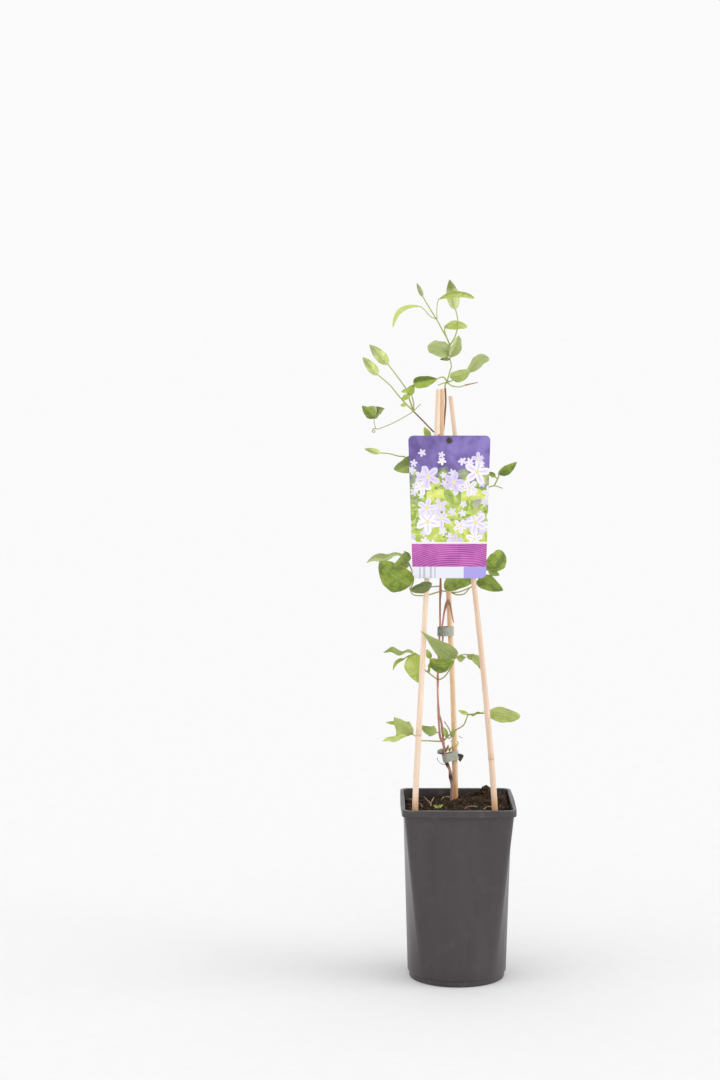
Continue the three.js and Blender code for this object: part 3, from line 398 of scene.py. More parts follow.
def smooth_path(points, per_span=8):
    """A smooth line through points, and how far along the list each of its own points lies."""
    p = np.asarray(points, float)
    p = np.concatenate([[2 * p[0] - p[1]], p, [2 * p[-1] - p[-2]]])
    line, at = [], []
    for k in range(1, len(p) - 2):
        p0, p1, p2, p3 = p[k - 1:k + 3]
        d0, d1, d2 = [max(1e-4, np.linalg.norm(b - a) ** 0.5) for a, b in ((p0, p1), (p1, p2), (p2, p3))]
        m1 = ((p1 - p0) / d0 - (p2 - p0) / (d0 + d1) + (p2 - p1) / d1) * d1
        m2 = ((p2 - p1) / d1 - (p3 - p1) / (d1 + d2) + (p3 - p2) / d2) * d1
        for i in range(per_span + (k == len(p) - 3)):
            t = i / per_span
            line.append(p1 + m1 * t + (3 * (p2 - p1) - 2 * m1 - m2) * t * t
                        + (2 * (p1 - p2) + m1 + m2) * t ** 3)
            at.append(k - 1 + t)
    return np.array(line), np.array(at)


def stems(name, lines, material, spacing, sides, ridge=0.0, ridge_scale=3.0, bore=0.0, seed=3, per_span=8):
    """Round stems as one mesh, each given as (points, radii) or (points, radii, marks), in millimetres."""
    points, edges, thickness, marked = [], [], [], []
    for path, radii, *marks in lines:
        line, at = smooth_path(path, per_span)
        marked += np.interp(at, range(len(radii)), marks[0] if marks else np.zeros(len(radii))).tolist()
        edges += [(len(points) + i, len(points) + i + 1) for i in range(len(line) - 1)]
        points += (line * MM).tolist()
        thickness += (np.interp(at, range(len(radii)), radii) * MM).tolist()
    mesh = bpy.data.meshes.new(name)
    mesh.from_pydata(points, edges, [])
    obj = bpy.data.objects.new(name, mesh)
    bpy.context.scene.collection.objects.link(obj)
    carry(obj, "FLOAT", "thick", thickness)
    carry(obj, "FLOAT", "mark", marked)
    return shape_with(obj, STEM, name, spacing=spacing * MM, sides=sides, ridge_height=ridge * MM,
                      ridge_scale=ridge_scale, bore_depth=bore * MM, seed=seed, material=material)


def join(name, *parts):
    """Several mesh objects made one, with their materials."""
    with bpy.context.temp_override(active_object=parts[0], object=parts[0], selected_objects=list(parts),
                                   selected_editable_objects=list(parts)):
        bpy.ops.object.join()
    parts[0].name = parts[0].data.name = name
    return parts[0]


def heap(x, y):
    """Height of the peat at a place, in millimetres."""
    rise = np.interp(x, MOUND_ACROSS, [0, 1]) * np.interp(y, MOUND_BACK, [0, 1])
    rise = rise * rise * (3 - 2 * rise)
    spot = Vector((x * 0.05, y * 0.05, 3.0))
    coarse = noise.fractal(spot, 0.7, 2.1, 5)
    lumps = noise.fractal(spot * 5.5, 0.8, 2.0, 4)
    cracks = 1 - 2 * abs(noise.noise(spot * 2.3))
    level = SOIL_LEVEL + SOIL_MOUND * rise
    level = level + HOLLOWS * coarse + LUMPS * lumps - CRACKS * max(0, cracks - 0.4)
    for cx, cy, cz, r in CLODS:
        near = math.hypot(x - cx, y - cy) / r + 0.25 * noise.noise(spot * 4)
        if near < 1:
            level = max(level, cz + 0.75 * r * math.sqrt(1 - max(0, near) ** 2) + 1.8 * lumps)
    return level


peat, tree, surface = finish("damp_peat", roughness=0.9, specular_ior_level=0.25)
here = place_of(tree)
crumb = node(tree, "ShaderNodeAttribute", attribute_name="crumb").outputs["Fac"]
clumps = speckle(tree, here, 110, 0.4, 0.6, 9)
bits = speckle(tree, here, 900, 0.45, 0.7, 3)
dry = ramp(tree, split(tree, here)["Z"], *DRY_PEAT)
fibrous = speckle(tree, stretched(tree, here, 1, 0.35, 0.35), 260, 0.45, 0.65, 5)
brown = blend(tree, clumps, "#0f0b08", "#412e1e")
brown = wash(tree, brown, times(tree, dry, fibrous), 0.6, "#6b4f35")
brown = wash(tree, brown, bits, 0.35, "#6f5740")
brown = blend(tree, times(tree, crumb, crumb), brown, "#8a6c50")
cover(tree, surface, brown, plus(tree, clumps, bits), 0.0012, 0.8)

straw, tree, surface = finish("straw", roughness=0.7)
here = place_of(tree)
cover(tree, surface, blend(tree, speckle(tree, here, 260), "#6e553c", "#b99d7a"),
      speckle(tree, stretched(tree, here, 1, 1, 4), 900), 0.0002, 0.6)

# The bed: rings up the inside of the pot, a hair off its wall, then inwards over the open top.
EDGE = pot_ring(SOIL_LEVEL - 4, POT_WALL + 0.35)
SLOPE_FROM, SLOPE_SHARE, SLOPE_DROP = 0.93, 0.07, 3  # the bed sinks by so much against the wall
rings = [pot_ring(POT_FLOOR + 0.3, POT_FOOT_STEP + POT_WALL + 1.9),
         pot_ring(POT_FOOT_RING + 3, POT_WALL + 0.45),
         pot_ring(75, POT_WALL + 0.35), pot_ring(140, POT_WALL + 0.35), EDGE]
for share in np.linspace(0.985, 0.02, 66):
    ring = EDGE * [share, share, 1]
    drop = SLOPE_DROP * max(0, share - SLOPE_FROM) / SLOPE_SHARE
    ring[:, 2] = [heap(x, y) - drop for x, y, _ in ring]
    rings.append(ring)
bed = piece("soil_bed", *loft(rings), [peat, straw], smooth_below=180)
carry(bed, "FLOAT", "open_top", [v.co.z > (SOIL_LEVEL - 3.5) * MM and v.co.xy.length < OPEN_RADIUS * MM
                                 for v in bed.data.vertices])

# Crumbs, lumps and fibres strewn over the open top of the bed, so many to the square metre.
STREW, given, out = shaping_tree(
    "crumbs_and_fibres", ("Crumbs", "Float", 85000.0), ("Crumb Size", "Float", 0.0013),
    ("Lumps", "Float", 17000.0), ("Lump Size", "Float", 0.0031), ("Fibres", "Float", 9000.0),
    ("Fibre Length", "Float", 0.0055), ("Seed", "Int", 11), ("Peat", "Material"), ("Straw", "Material"))
open_top = first(STREW, "FunctionNodeCompare", {0: named(STREW, "open_top"), 1: 0.5},
                 operation="GREATER_THAN")


def by_chance(tree, low, high, seed=0):
    """A random number or vector between low and high, for each point."""
    at, kind = (0, "FLOAT_VECTOR") if isinstance(low, tuple) else (2, "FLOAT")
    return node(tree, "FunctionNodeRandomValue", {at: low, at + 1: high, "Seed": seed},
                data_type=kind).outputs[at // 2]


def strewn(density, shape, size, low, high, seed, dryness):
    """Copies of a shape on the open top, each turned, sized and dried by chance."""
    spots = first(STREW, "GeometryNodeDistributePointsOnFaces", {"Mesh": given["Geometry"],
                  "Selection": open_top, "Density": density,
                  "Seed": plus(STREW, given["Seed"], float(seed))})
    turned = by_chance(STREW, (0, 0, 0), (0.9, 0.9, 6.3), seed)
    sized = vectors(STREW, "SCALE", by_chance(STREW, low, high, seed + 1), size)
    copies = first(STREW, "GeometryNodeInstanceOnPoints", {"Points": spots, "Instance": shape,
                   "Rotation": turned, "Scale": sized})
    level = by_chance(STREW, 0.0, dryness, seed + 5)
    return realized(STREW, stored(STREW, copies, "crumb", level, on="INSTANCE"))


def joined(tree, *sources):
    """Several geometries as one."""
    whole = node(tree, "GeometryNodeJoinGeometry")
    for source in sources:
        tree.links.new(source, whole.inputs[0])
    return whole.outputs[0]


balls = []
for level in (1, 2):
    ball = first(STREW, "GeometryNodeMeshIcoSphere", {"Radius": 1.0, "Subdivisions": level})
    rugged = node(STREW, "ShaderNodeTexNoise", {"Scale": 1.6, "Detail": 2.0}).outputs["Color"]
    rugged = vectors(STREW, "SCALE", vectors(STREW, "SUBTRACT", rugged, (0.5, 0.5, 0.5)), 1.5)
    balls.append(first(STREW, "GeometryNodeSetPosition", {"Geometry": ball, "Offset": rugged}))
crumbs = strewn(given["Crumbs"], balls[0], given["Crumb Size"], (0.3, 0.3, 0.25), (1.3, 1.1, 0.8), 1, 0.5)
lumps = strewn(given["Lumps"], balls[1], given["Lump Size"], (0.4, 0.35, 0.25), (1.3, 1.0, 0.6), 40, 0.3)
crumbs = joined(STREW, crumbs, lumps)
bow = first(STREW, "GeometryNodeCurveQuadraticBezier", {"Resolution": 5, "Start": (-0.5, 0, 0),
            "Middle": (0.0, 0.35, 0.16), "End": (0.5, 0, 0.03)})
ring = first(STREW, "GeometryNodeCurvePrimitiveCircle", {"Resolution": 4, "Radius": 0.028})
bow = first(STREW, "GeometryNodeCurveToMesh", {"Curve": bow, "Profile Curve": ring, "Scale": 1.0,
            "Fill Caps": True})
fibres = strewn(given["Fibres"], bow, given["Fibre Length"], (0.4, 0.4, 0.4), (1.5, 1.3, 1.2), 20, 1.0)
whole = joined(STREW, made_of(STREW, fibres, given["Straw"]), made_of(STREW, crumbs, given["Peat"]),
               given["Geometry"])
STREW.links.new(realized(STREW, whole), out.inputs["Geometry"])

bed = shape_with(bed, STREW, "soil_bed", peat=peat, straw=straw)
straws = stems("straws", [(line, STRAW_RADII[:len(line)]) for line in STRAWS], straw,
               spacing=1.0, sides=6, ridge=0.15)
bed = join("soil_bed", bed, straws)
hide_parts("soil")
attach(bed, "root")

# ---- canes ----
# Three bamboo sticks pushed into the peat so that they lean together in a tipi: pale tan skin with a pink
# cast, fine fibres along it, a ridge and a brown scar at each knuckle, sawn square with a shallow bore
# whose floor is painted dark as shade.
CANE_FOOT_RADIUS, CANE_TOP_RADIUS, CANE_PITH_DEPTH = 3.7, 2.5, 2.5
CANE_PATHS = {
    "cane_left": [(-49.5, -47, 140), (-51.4, -47.8, 210), (-45.1, -36.3, 340), (-38.4, -24.8, 469),
                  (-26.8, -8.6, 651), (-24.6, -4, 703)],
    "cane_right": [(43.3, -49.5, 140), (42.2, -47.8, 210), (31.8, -35.6, 340), (17, -22.3, 480),
                   (-4.8, -6.3, 651), (-10, -2.1, 695)],
    "cane_back": [(0.3, 50, 130), (-0.7, 44.9, 209), (-4.1, 34.8, 328), (-10.8, 23.4, 463),
                  (-19.8, 7.6, 650), (-19.4, 3, 703)],
}
CANE_SOAKED, CANE_SOAKED_SHARE = (0.234, 0.214), 0.62  # metres up, from dry to wet
CANE_KNUCKLES = {"cane_left": [300, 540], "cane_right": [272, 560], "cane_back": [268, 448, 600]}
CANE_SKINS = {"cane_left": ("#d9bd9f", "#f9e8d6"), "cane_right": ("#c6ab90", "#ecd6c0"),
              "cane_back": ("#dab487", "#f8dcb6")}


def carried(tree, name, output="Fac"):
    """What the mesh carries under a name, at the point."""
    return node(tree, "ShaderNodeAttribute", attribute_name=name).outputs[output]


def grain_of(tree):
    """Place on a stem's skin: round it in x and y, and the metres along it in z, drawn out."""
    lifted = first(tree, "ShaderNodeCombineXYZ", {"Z": times(tree, carried(tree, "along"), 30.0)})
    return vectors(tree, "ADD", carried(tree, "around", "Vector"), lifted)


def knuckle_at(above):
    """How much a cane is thicker, and how dark its scar is, at a height above or below a knuckle."""
    swell = (0.2 * math.exp(-(above / 5) ** 2) + 0.18 * math.exp(-((above - 1) / 1.1) ** 2)
             - 0.25 * math.exp(-((above + 1.1) / 0.6) ** 2))
    scar = 0.8 * math.exp(-((above + 1.1) / 0.8) ** 2) + 0.3 * math.exp(-((above - 3) / 3) ** 2)
    return swell, scar


for name, path in CANE_PATHS.items():
    bamboo, tree, surface = finish(name + "_skin", roughness=0.48, specular_ior_level=0.4)
    grain = grain_of(tree)
    fibres = speckle(tree, stretched(tree, grain, 1, 1, 0.06), 16, 0.3, 0.7, 5)
    colour = blend(tree, fibres, *CANE_SKINS[name])
    for squash, scale, low, high, detail, share, over in (
            (0.5, 1.6, 0.4, 0.65, 3, 0.25, "#c9a482"),      # tan patches
            (0.12, 2.2, 0.45, 0.7, 3, 0.35, "#dfae95"),     # a pink blush
            (0.35, 5.0, 0.64, 0.72, 2, 0.45, "#8d6645")):   # brown flecks
        mask = speckle(tree, stretched(tree, grain, 1, 1, squash), scale, low, high, detail)
        colour = wash(tree, colour, mask, share, over)
    colour = wash(tree, colour, carried(tree, "mark"), 0.6, "#86603f")
    soaked = ramp(tree, split(tree, place_of(tree))["Z"], *CANE_SOAKED)
    colour = wash(tree, colour, soaked, CANE_SOAKED_SHARE, "#c78d4e")
    # Painted shade: the floor of the bore in the sawn top is coloured dark brown.
    colour = blend(tree, carried(tree, "end"), colour, "#4a3420")
    cover(tree, surface, colour, fibres, 0.0002, 0.4)

    line, _ = smooth_path(path, 120)
    radii, marks = [], []
    for x, y, z in line:
        share = (z - path[0][2]) / (path[-1][2] - path[0][2])
        knuckles = [knuckle_at(z - k) for k in CANE_KNUCKLES[name]]
        radius = CANE_FOOT_RADIUS + (CANE_TOP_RADIUS - CANE_FOOT_RADIUS) * share
        radii.append(radius + sum(swell for swell, _ in knuckles))
        marks.append(min(1, sum(scar for _, scar in knuckles)))
    cane = stems(name + "_stick", [(line, radii, marks)], bamboo, spacing=0.7, sides=28, ridge=0.16,
                 ridge_scale=2.2, bore=CANE_PITH_DEPTH, per_span=1)
    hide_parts(name)
    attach(cane, "root")

# ---- vine ----
# The woody stem: dark, stringy bark at its base, then reddish strands that swell at every leaf joint. One
# strand climbs behind the card to the cane tops; one leaves the upper tie and ends hanging.
VINE = [  # each strand's points with the stem's radius there
    [(-4.2, 38.5, 150, 3.1), (-4.9, 38, 205, 2.1), (-5.2, 37.2, 225, 1.8), (-6.8, 37.2, 234, 2.4),
     (-8, 36.6, 243, 1.6), (-11.2, 36.6, 250, 2.3), (-13.7, 35.8, 264, 1.75), (-16.2, 34, 276, 1.55),
     (-19.7, 32.6, 283, 1.4), (-20.7, 30.8, 293, 1.25), (-21.6, 29.8, 305, 1.25), (-21.8, 29.6, 314, 1.7),
     (-22.6, 28.7, 329, 1.1), (-23, 27.6, 341, 1.1), (-22.9, 26.6, 354, 1.6), (-23, 25.8, 364, 1.1),
     (-22.2, 25, 384, 1.1), (-21.2, 24, 407, 1.1), (-20.7, 22.8, 420, 1.1), (-20.8, 20.4, 451, 1.1),
     (-20.4, 18.4, 462, 1.7), (-20.4, 17.2, 478, 1.1), (-22.2, 17.2, 520, 1.2), (-22.7, 17.4, 560, 1.2),
     (-21.7, 17.2, 600, 1.2), (-20.2, 16.6, 628, 1.2), (-17.7, 14.4, 655, 1.2), (-15.2, 9.6, 688, 1.1),
     (-16, 6.6, 704, 1.1)],
    [(-14.7, 35, 270, 1.4), (-15.6, 34, 279, 1.3), (-17, 32.8, 289, 1.3), (-18.2, 31, 301, 1.3),
     (-21.2, 29.8, 312, 1.2)],
    [(-23.8, 25.8, 368, 1.1), (-19.8, 24, 386, 1.1), (-17.1, 22.8, 407, 1.1), (-18, 21, 419, 1.1),
     (-17, 19.2, 428, 1.1), (-15.6, 17.6, 438, 1.2), (-13.2, 15.8, 447, 1.9), (-11.4, 15.4, 450.4, 1.8),
     (-9.6, 15.4, 448, 1.2), (-7.6, 16.2, 440, 1), (-5.8, 18, 430, 0.9), (-4.3, 18.4, 424, 0.6)],
    [(-18.6, 15.1, 646, 1), (-29.2, 8, 652.5, 0.9), (-34.2, 4, 657.5, 0.9), (-44.2, 0, 668, 0.9),
     (-53.2, -4, 677, 0.9)],
]
DRY_TENDRILS = [  # dry tendrils and a peel of bark that cling at the lower tie
    [(-22.6, 31, 258.8, 0.25), (-23, 31, 257, 0.3), (-21.6, 31, 254.2, 0.32), (-19.6, 31.6, 252, 0.32),
     (-16.6, 33, 250, 0.4), (-12.4, 35.6, 249.6, 0.5)],
    [(-15, 36, 264, 1.2), (-12.4, 34.6, 267, 1.7), (-10.4, 34.4, 270.6, 1.3), (-9.8, 35, 273.4, 0.5)],
    [(-8.5, 35.4, 265.5, 1.1), (-7.4, 34.8, 268.6, 1.2), (-5.2, 35, 270.4, 0.5)],
    [(3, 42, 283, 0.35), (5.6, 40, 281.6, 0.3), (8, 39, 281.2, 0.2)],
]
GREEN_TENDRIL = [(-12.6, 35, 266, 1.0), (-9.6, 33.6, 268.4, 0.95), (-5.6, 34.4, 271, 0.8),
                 (-1.6, 34.8, 272.2, 0.8), (1.4, 36.8, 272.8, 0.8), (2.6, 39.6, 274, 0.7),
                 (1.4, 42.4, 276, 0.6), (-2, 43.4, 277.4, 0.5), (-5.4, 41.4, 277.8, 0.5),
                 (-6.6, 38, 276.4, 0.3)]
DRY_MARK, SWELLING_MARK, JOINT_MARK = 1.2, 1.45, 0.55  # above 1 the bark goes over to its darkest
VINE_BROWNS = (0.425, 0.455)                           # metres up, where the strands turn from red to brown

bark, tree, surface = finish("vine_bark", roughness=0.68, specular_ior_level=0.3)
grain = grain_of(tree)
woody = carried(tree, "mark")
strings = speckle(tree, stretched(tree, grain, 1, 1, 0.12), 9, 0.35, 0.65, 5)
blotch = speckle(tree, stretched(tree, grain, 1, 1, 0.6), 2.4, 0.35, 0.7, 4)
browner = ramp(tree, split(tree, place_of(tree))["Z"], *VINE_BROWNS)
strand = blend(tree, blotch, "#c67c6f", "#e2b09c")
strand = blend(tree, browner, strand, blend(tree, blotch, "#8b6047", "#a9855f"))
strand = wash(tree, strand, strings, 0.22, "#94503f")
wood = blend(tree, strings, "#7d574a", "#d3aa97")
wood = blend(tree, ramp(tree, woody, 1.02, 1.4), wood, "#523a30")
cover(tree, surface, blend(tree, woody, strand, wood), strings, 0.0003, 0.7)


def woodiness(z, radius):
    """How woody the stem is at a height: less and less as it climbs, more at a leaf joint's swelling."""
    if radius > 2.2 and z > 225:
        return SWELLING_MARK
    return max(float(np.interp(z, [150, 252, 262, 300, 704], [1, 0.95, 0.35, 0.12, 0])),
               JOINT_MARK if radius > 1.6 and z > 300 else 0)


def strand_of(points, mark=woodiness):
    """A stem's line, radii and marks from its points with their radii."""
    return [p[:3] for p in points], [p[3] for p in points], [mark(p[2], p[3]) for p in points]


young, tree, surface = finish("green_tendril", roughness=0.5)
cover(tree, surface, blend(tree, speckle(tree, place_of(tree), 300), "#a3a648", "#cfcf84"))

vine = stems("vine_wood", [strand_of(points) for points in VINE], bark, spacing=0.5, sides=18, ridge=0.95,
             ridge_scale=1.6, seed=5)
dry = stems("tendrils", [strand_of(points, lambda z, radius: DRY_MARK) for points in DRY_TENDRILS], bark,
            spacing=0.5, sides=8, ridge=0.35, seed=6)
curl = stems("curl", [strand_of(GREEN_TENDRIL, lambda z, radius: 0)], young, spacing=0.5, sides=8)
vine = join("vine_wood", vine, dry, curl)
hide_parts("vine_stem")
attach(vine, "root")

# ---- ties ----
# Soft plastic tape pulled round the back cane and the stems and nipped together: grey-green with a silvery
# sheen and fine ribs along it, painted darker on its left and lighter on its right as shade and light. The
# lower one has its two ends sticking out as ears, painted dark low down as shade.
TAPE_HEIGHT, TAPE_THICKNESS, TAPE_RIBS, GAP = 11, 1, 0.12, 0.3
LOWER_TIE, LOWER_TIE_LEVEL, LOWER_TIE_TIP = [(-1.8, 40.4, 4.1), (-12.8, 36.2, 3)], 259.9, -12
UPPER_TIE, UPPER_TIE_LEVEL = [(-8.6, 27.4, 3.6), (-20.8, 23.4, 1.7), (-17.3, 22, 1.7)], 413
# The first two ranges are where the painted light and shade turn: across the tape, and up the ears.
TAPE_PAINTED_LIGHT, EAR_PAINTED_SHADE, EAR_BROWN = (-0.021, -0.008), (0.2622, 0.2642), (-0.006, 0.0)  # metres, across or up
EARS = [  # path, widths, thickness, droop
    ([(-14.9, 36.2, 264.9), (-18.2, 35.4, 265), (-22.8, 36.9, 264.2)], [5.4, 7.4, 4.2], 0.9, 0.9),
    ([(1.6, 37, 258.9), (5, 38.2, 257.2), (8.6, 36.4, 259.8)], [6.4, 10.2, 2.6], 1.0, -0.7),
]


def band(circles, margin, thickness, height, level, tip=0, ribs=0.0, count=150, rows=14):
    """A band with eased edges and ribs along it that hugs circles (x, y, radius), leant by tip degrees."""
    hull = []
    for angle in ring_of(720):
        nx, ny = math.cos(angle), math.sin(angle)
        x, y, r = max(circles, key=lambda c: c[0] * nx + c[1] * ny + c[2])
        hull.append((x + r * nx, y + r * ny, nx, ny))
    hull = np.array(hull + hull[:1])
    reach = np.concatenate([[0], np.cumsum(np.linalg.norm(np.diff(hull[:, :2], axis=0), axis=1) + 1e-6)])
    spots = np.linspace(0, reach[-1], count, endpoint=False)
    hug = np.stack([np.interp(spots, reach, hull[:, i]) for i in range(4)], 1)
    ease = min(0.45 * thickness, 0.3)
    inner, outer, half = margin, margin + thickness, height / 2
    section = [(inner + ease, -half), (outer - ease, -half), (outer, -half + ease)]
    section += [(outer - ribs * (i % 2), -half + ease + (height - 2 * ease) * (i + 1) / rows)
                for i in range(rows - 1)]
    section += [(outer, half - ease), (outer - ease, half), (inner + ease, half), (inner, half - ease),
                (inner, -half + ease)]
    lean = math.radians(tip)
    points, faces, size = [], [], len(section)
    for i, (x, y, nx, ny) in enumerate(hug):
        wobble = 0.18 * thickness * noise.noise(Vector((x * 0.4, y * 0.4, level * 0.1)))
        for out_by, z in section:
            px, py = x + nx * (out_by + wobble), y + ny * (out_by + wobble)
            points.append((px * math.cos(lean) + z * math.sin(lean), py,
                           level - px * math.sin(lean) + z * math.cos(lean)))
        j = (i + 1) % count
        faces += [(i * size + k, j * size + k, j * size + (k + 1) % size, i * size + (k + 1) % size)
                  for k in range(size)]
    return points, faces


def rounded(value, power):
    return np.sign(value) * abs(value) ** power


def ear(path, widths, thickness, droop):
    """A tape's end: a thin eased strip along a path, standing up, its surface bent by droop."""
    line, at = smooth_path(path, 6)
    rim = [(rounded(math.cos(a), 0.5), rounded(math.sin(a), 0.35)) for a in ring_of(20)]
    half = np.interp(at, range(len(widths)), widths) / 2
    return loft([[p + np.array([0, -thickness / 2 * a + droop * b * b, w * b]) for a, b in rim]
                 for p, w in zip(line, half)])


tape, tree, surface = finish("tape", roughness=0.38, specular_ior_level=0.5)
here = place_of(tree)
stretch = speckle(tree, stretched(tree, here, 1, 1, 6), 220, 0.35, 0.65, 4)
scuff = speckle(tree, here, 420, 0.55, 0.7, 3)
# Painted light and shade: the band goes from dark on its left to light on its right.
painted_light_side = ramp(tree, split(tree, here)["X"], *TAPE_PAINTED_LIGHT)
colour = blend(tree, painted_light_side, "#5b6252", "#a4a898")
colour = wash(tree, colour, stretch, 0.4, "#b9bcae")
colour = wash(tree, colour, scuff, 0.5, "#5d5a48")
cover(tree, surface, colour, stretch, 0.0003, 0.5)

dull_tape, tree, surface = finish("tape_end", roughness=0.6)
here = place_of(tree)
across, _, height = split(tree, here)
# Painted shade: the ears are dark low down, where the folded tape is shaded, and pale above.
colour = blend(tree, ramp(tree, height, *EAR_PAINTED_SHADE), "#3c352b", "#939a8c")
colour = blend(tree, ramp(tree, across, *EAR_BROWN), colour, "#402c1c")
colour = wash(tree, colour, speckle(tree, here, 600), 0.35, "#6f6656")
cover(tree, surface, colour, speckle(tree, here, 500), 0.0004, 0.6)

lower = piece("tie_lower_tape", *band(LOWER_TIE, GAP, TAPE_THICKNESS, TAPE_HEIGHT - 1, LOWER_TIE_LEVEL,
                                      LOWER_TIE_TIP, TAPE_RIBS), [tape])
lower = join("tie_lower_tape", lower, *[piece("ear", *ear(*shape), [dull_tape]) for shape in EARS])
upper = piece("tie_upper_tape", *band(UPPER_TIE, GAP, TAPE_THICKNESS, TAPE_HEIGHT, UPPER_TIE_LEVEL,
                                      ribs=TAPE_RIBS), [tape])
for tie, name in ((lower, "tie_lower"), (upper, "tie_upper")):
    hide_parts(name)
    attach(tie, "root")

# ---- hang label ----
# A punched card of coated board, printed on its front and plain white behind, a little wider at the top. It
# hangs by its hole and leans on the two front canes, bowed very slightly. The print is a plain floral one.
LABEL_TOP_WIDTH, LABEL_BOTTOM_WIDTH, LABEL_HEIGHT, LABEL_CORNER, LABEL_THICKNESS = 96, 86, 167, 6, 0.8
LABEL_HOLE_RADIUS, LABEL_HOLE_DROP, LABEL_TOP = 3, 5.5, (-11.7, -14.6, 649.5)
LABEL_LEAN = math.radians(4.4)
LABEL_BOW, LABEL_BELLY, LABEL_EASE, LABEL_NICK = 1.1, 0.5, 0.16, 0.05
PRINT_BAND, PRINT_RULE, PRINT_FOOT = (-153.5, -126.5), (-126.6, -124.6), (-153.3, -153.8)  # measured down

half_top, half_foot, drop = LABEL_TOP_WIDTH / 2, LABEL_BOTTOM_WIDTH / 2, LABEL_HEIGHT
corner, edge = LABEL_CORNER, []
for cx, cy, start in ((half_top - corner, -corner, 0), (-half_top + corner, -corner, 90),
                      (-half_foot + corner, -drop + corner, 180),
                      (half_foot - corner, -drop + corner, 270)):
    for a in np.radians(np.linspace(start, start + 90, 13)):
        edge.append((cx + corner * math.cos(a), cy + corner * math.sin(a)))
edge = np.array(edge + edge[:1])
reach = np.concatenate([[0], np.cumsum(np.linalg.norm(np.diff(edge, axis=0), axis=1))])
spots = np.unique(np.concatenate([reach[:-1], np.linspace(0, reach[-1], 160, endpoint=False)]).round(3))
edge = np.stack([np.interp(spots, reach, edge[:, i]) for i in (0, 1)], 1)
middle = np.array([0, -LABEL_HOLE_DROP])
bearing = edge - middle
hole = middle + LABEL_HOLE_RADIUS * bearing / np.linalg.norm(bearing, axis=1)[:, None]


def on_card(flat, z):
    """Points of the card, given flat and at a height over its back, as it hangs bowed and leaning."""
    x, y = flat[:, 0], flat[:, 1]
    down = np.clip(-y / drop, 0, 1)
    depth = -(z + LABEL_BOW * (x / half_top) ** 2 * down - LABEL_BELLY * np.sin(down * math.pi))
    lean_y = depth * math.cos(LABEL_LEAN) + y * math.sin(LABEL_LEAN)
    lean_z = y * math.cos(LABEL_LEAN) - depth * math.sin(LABEL_LEAN)
    return np.stack([x + LABEL_TOP[0], lean_y + LABEL_TOP[1], lean_z + LABEL_TOP[2]], 1)


# Rings from the hole out over the front, round the eased edge, and back over the plain side.
shares = [0, 0.015, 0.04, 0.08, 0.14, 0.22, 0.32, 0.43, 0.55, 0.67, 0.79, 0.9, 0.975, 0.994]
layers = [(share, LABEL_THICKNESS) for share in shares]
layers += [(0.9985, LABEL_THICKNESS - LABEL_NICK), (1.0, LABEL_THICKNESS - LABEL_EASE), (1.0, LABEL_EASE),
           (0.9985, LABEL_NICK)]
layers += [(share, 0) for share in shares[::-1]]
points, flat_at, faces, size = [], [], [], len(edge)
for k, (share, z) in enumerate(layers):
    flat = hole * (1 - share) + edge * share
    points.append(on_card(flat, z))
    flat_at += [(x, y, z > LABEL_THICKNESS / 2) for x, y in flat]
    j = (k + 1) % len(layers)
    faces += [(j * size + i, j * size + (i + 1) % size, k * size + (i + 1) % size, k * size + i)
              for i in range(size)]

card, tree, surface = finish("printed_card", roughness=0.26, specular_ior_level=0.5)
at = carried(tree, "card_at", "Vector")
across, down, front = split(tree, at)


def inside(tree, value, low, high, soft=0.25):
    """1 where the value is between two bounds."""
    return times(tree, ramp(tree, value, low - soft, low + soft),
                 ramp(tree, value, high + soft, high - soft))


# Motifs scattered one to a cell, each turned and sized by chance: a floret or, with two lobes, a leaf.
MOTIF, given, out = group(
    "printed_motif", [("Vector", "Vector"), ("Scale", "Float", 0.06), ("Lobes", "Float", 5.0),
                      ("Size", "Float", 0.4), ("Waist", "Float", 0.4)],
    [("Mask", "Float"), ("Eye", "Float"), ("Chance", "Float"), ("Shade", "Float"), ("Cell", "Vector")])
cell = node(MOTIF, "ShaderNodeTexVoronoi", {"Vector": given["Vector"], "Scale": given["Scale"],
            "Randomness": 0.6}, voronoi_dimensions="2D").outputs
from_centre = vectors(MOTIF, "SUBTRACT", given["Vector"], cell["Position"])
dx, dy, _ = split(MOTIF, vectors(MOTIF, "SCALE", from_centre, given["Scale"]))
chance = node(MOTIF, "ShaderNodeSeparateColor", {"Color": cell["Color"]}).outputs
turned = plus(MOTIF, calc(MOTIF, "ARCTAN2", dy, dx), times(MOTIF, chance[0], 2 * math.pi))
swing = calc(MOTIF, "COSINE", times(MOTIF, turned, given["Lobes"]))
lobe = calc(MOTIF, "POWER", plus(MOTIF, times(MOTIF, swing, 0.5), 0.5), 0.6)
spread = plus(MOTIF, given["Waist"], times(MOTIF, lobe, calc(MOTIF, "SUBTRACT", 1.0, given["Waist"])))
sized = times(MOTIF, given["Size"], plus(MOTIF, 0.8, times(MOTIF, chance[1], 0.35)))
radius = calc(MOTIF, "SQRT", plus(MOTIF, times(MOTIF, dx, dx), times(MOTIF, dy, dy)))
out_by = calc(MOTIF, "DIVIDE", radius, times(MOTIF, spread, sized))
for label, value in (("Mask", ramp(MOTIF, out_by, 1.04, 0.96)),
                     ("Eye", ramp(MOTIF, calc(MOTIF, "DIVIDE", radius, given["Size"]), 0.2, 0.12)),
                     ("Chance", chance[2]), ("Cell", cell["Position"]),
                     ("Shade", times(MOTIF, ramp(MOTIF, swing, 0.5, 1.0), ramp(MOTIF, out_by, 1.1, 0.3)))):
    MOTIF.links.new(value, out.inputs[label])


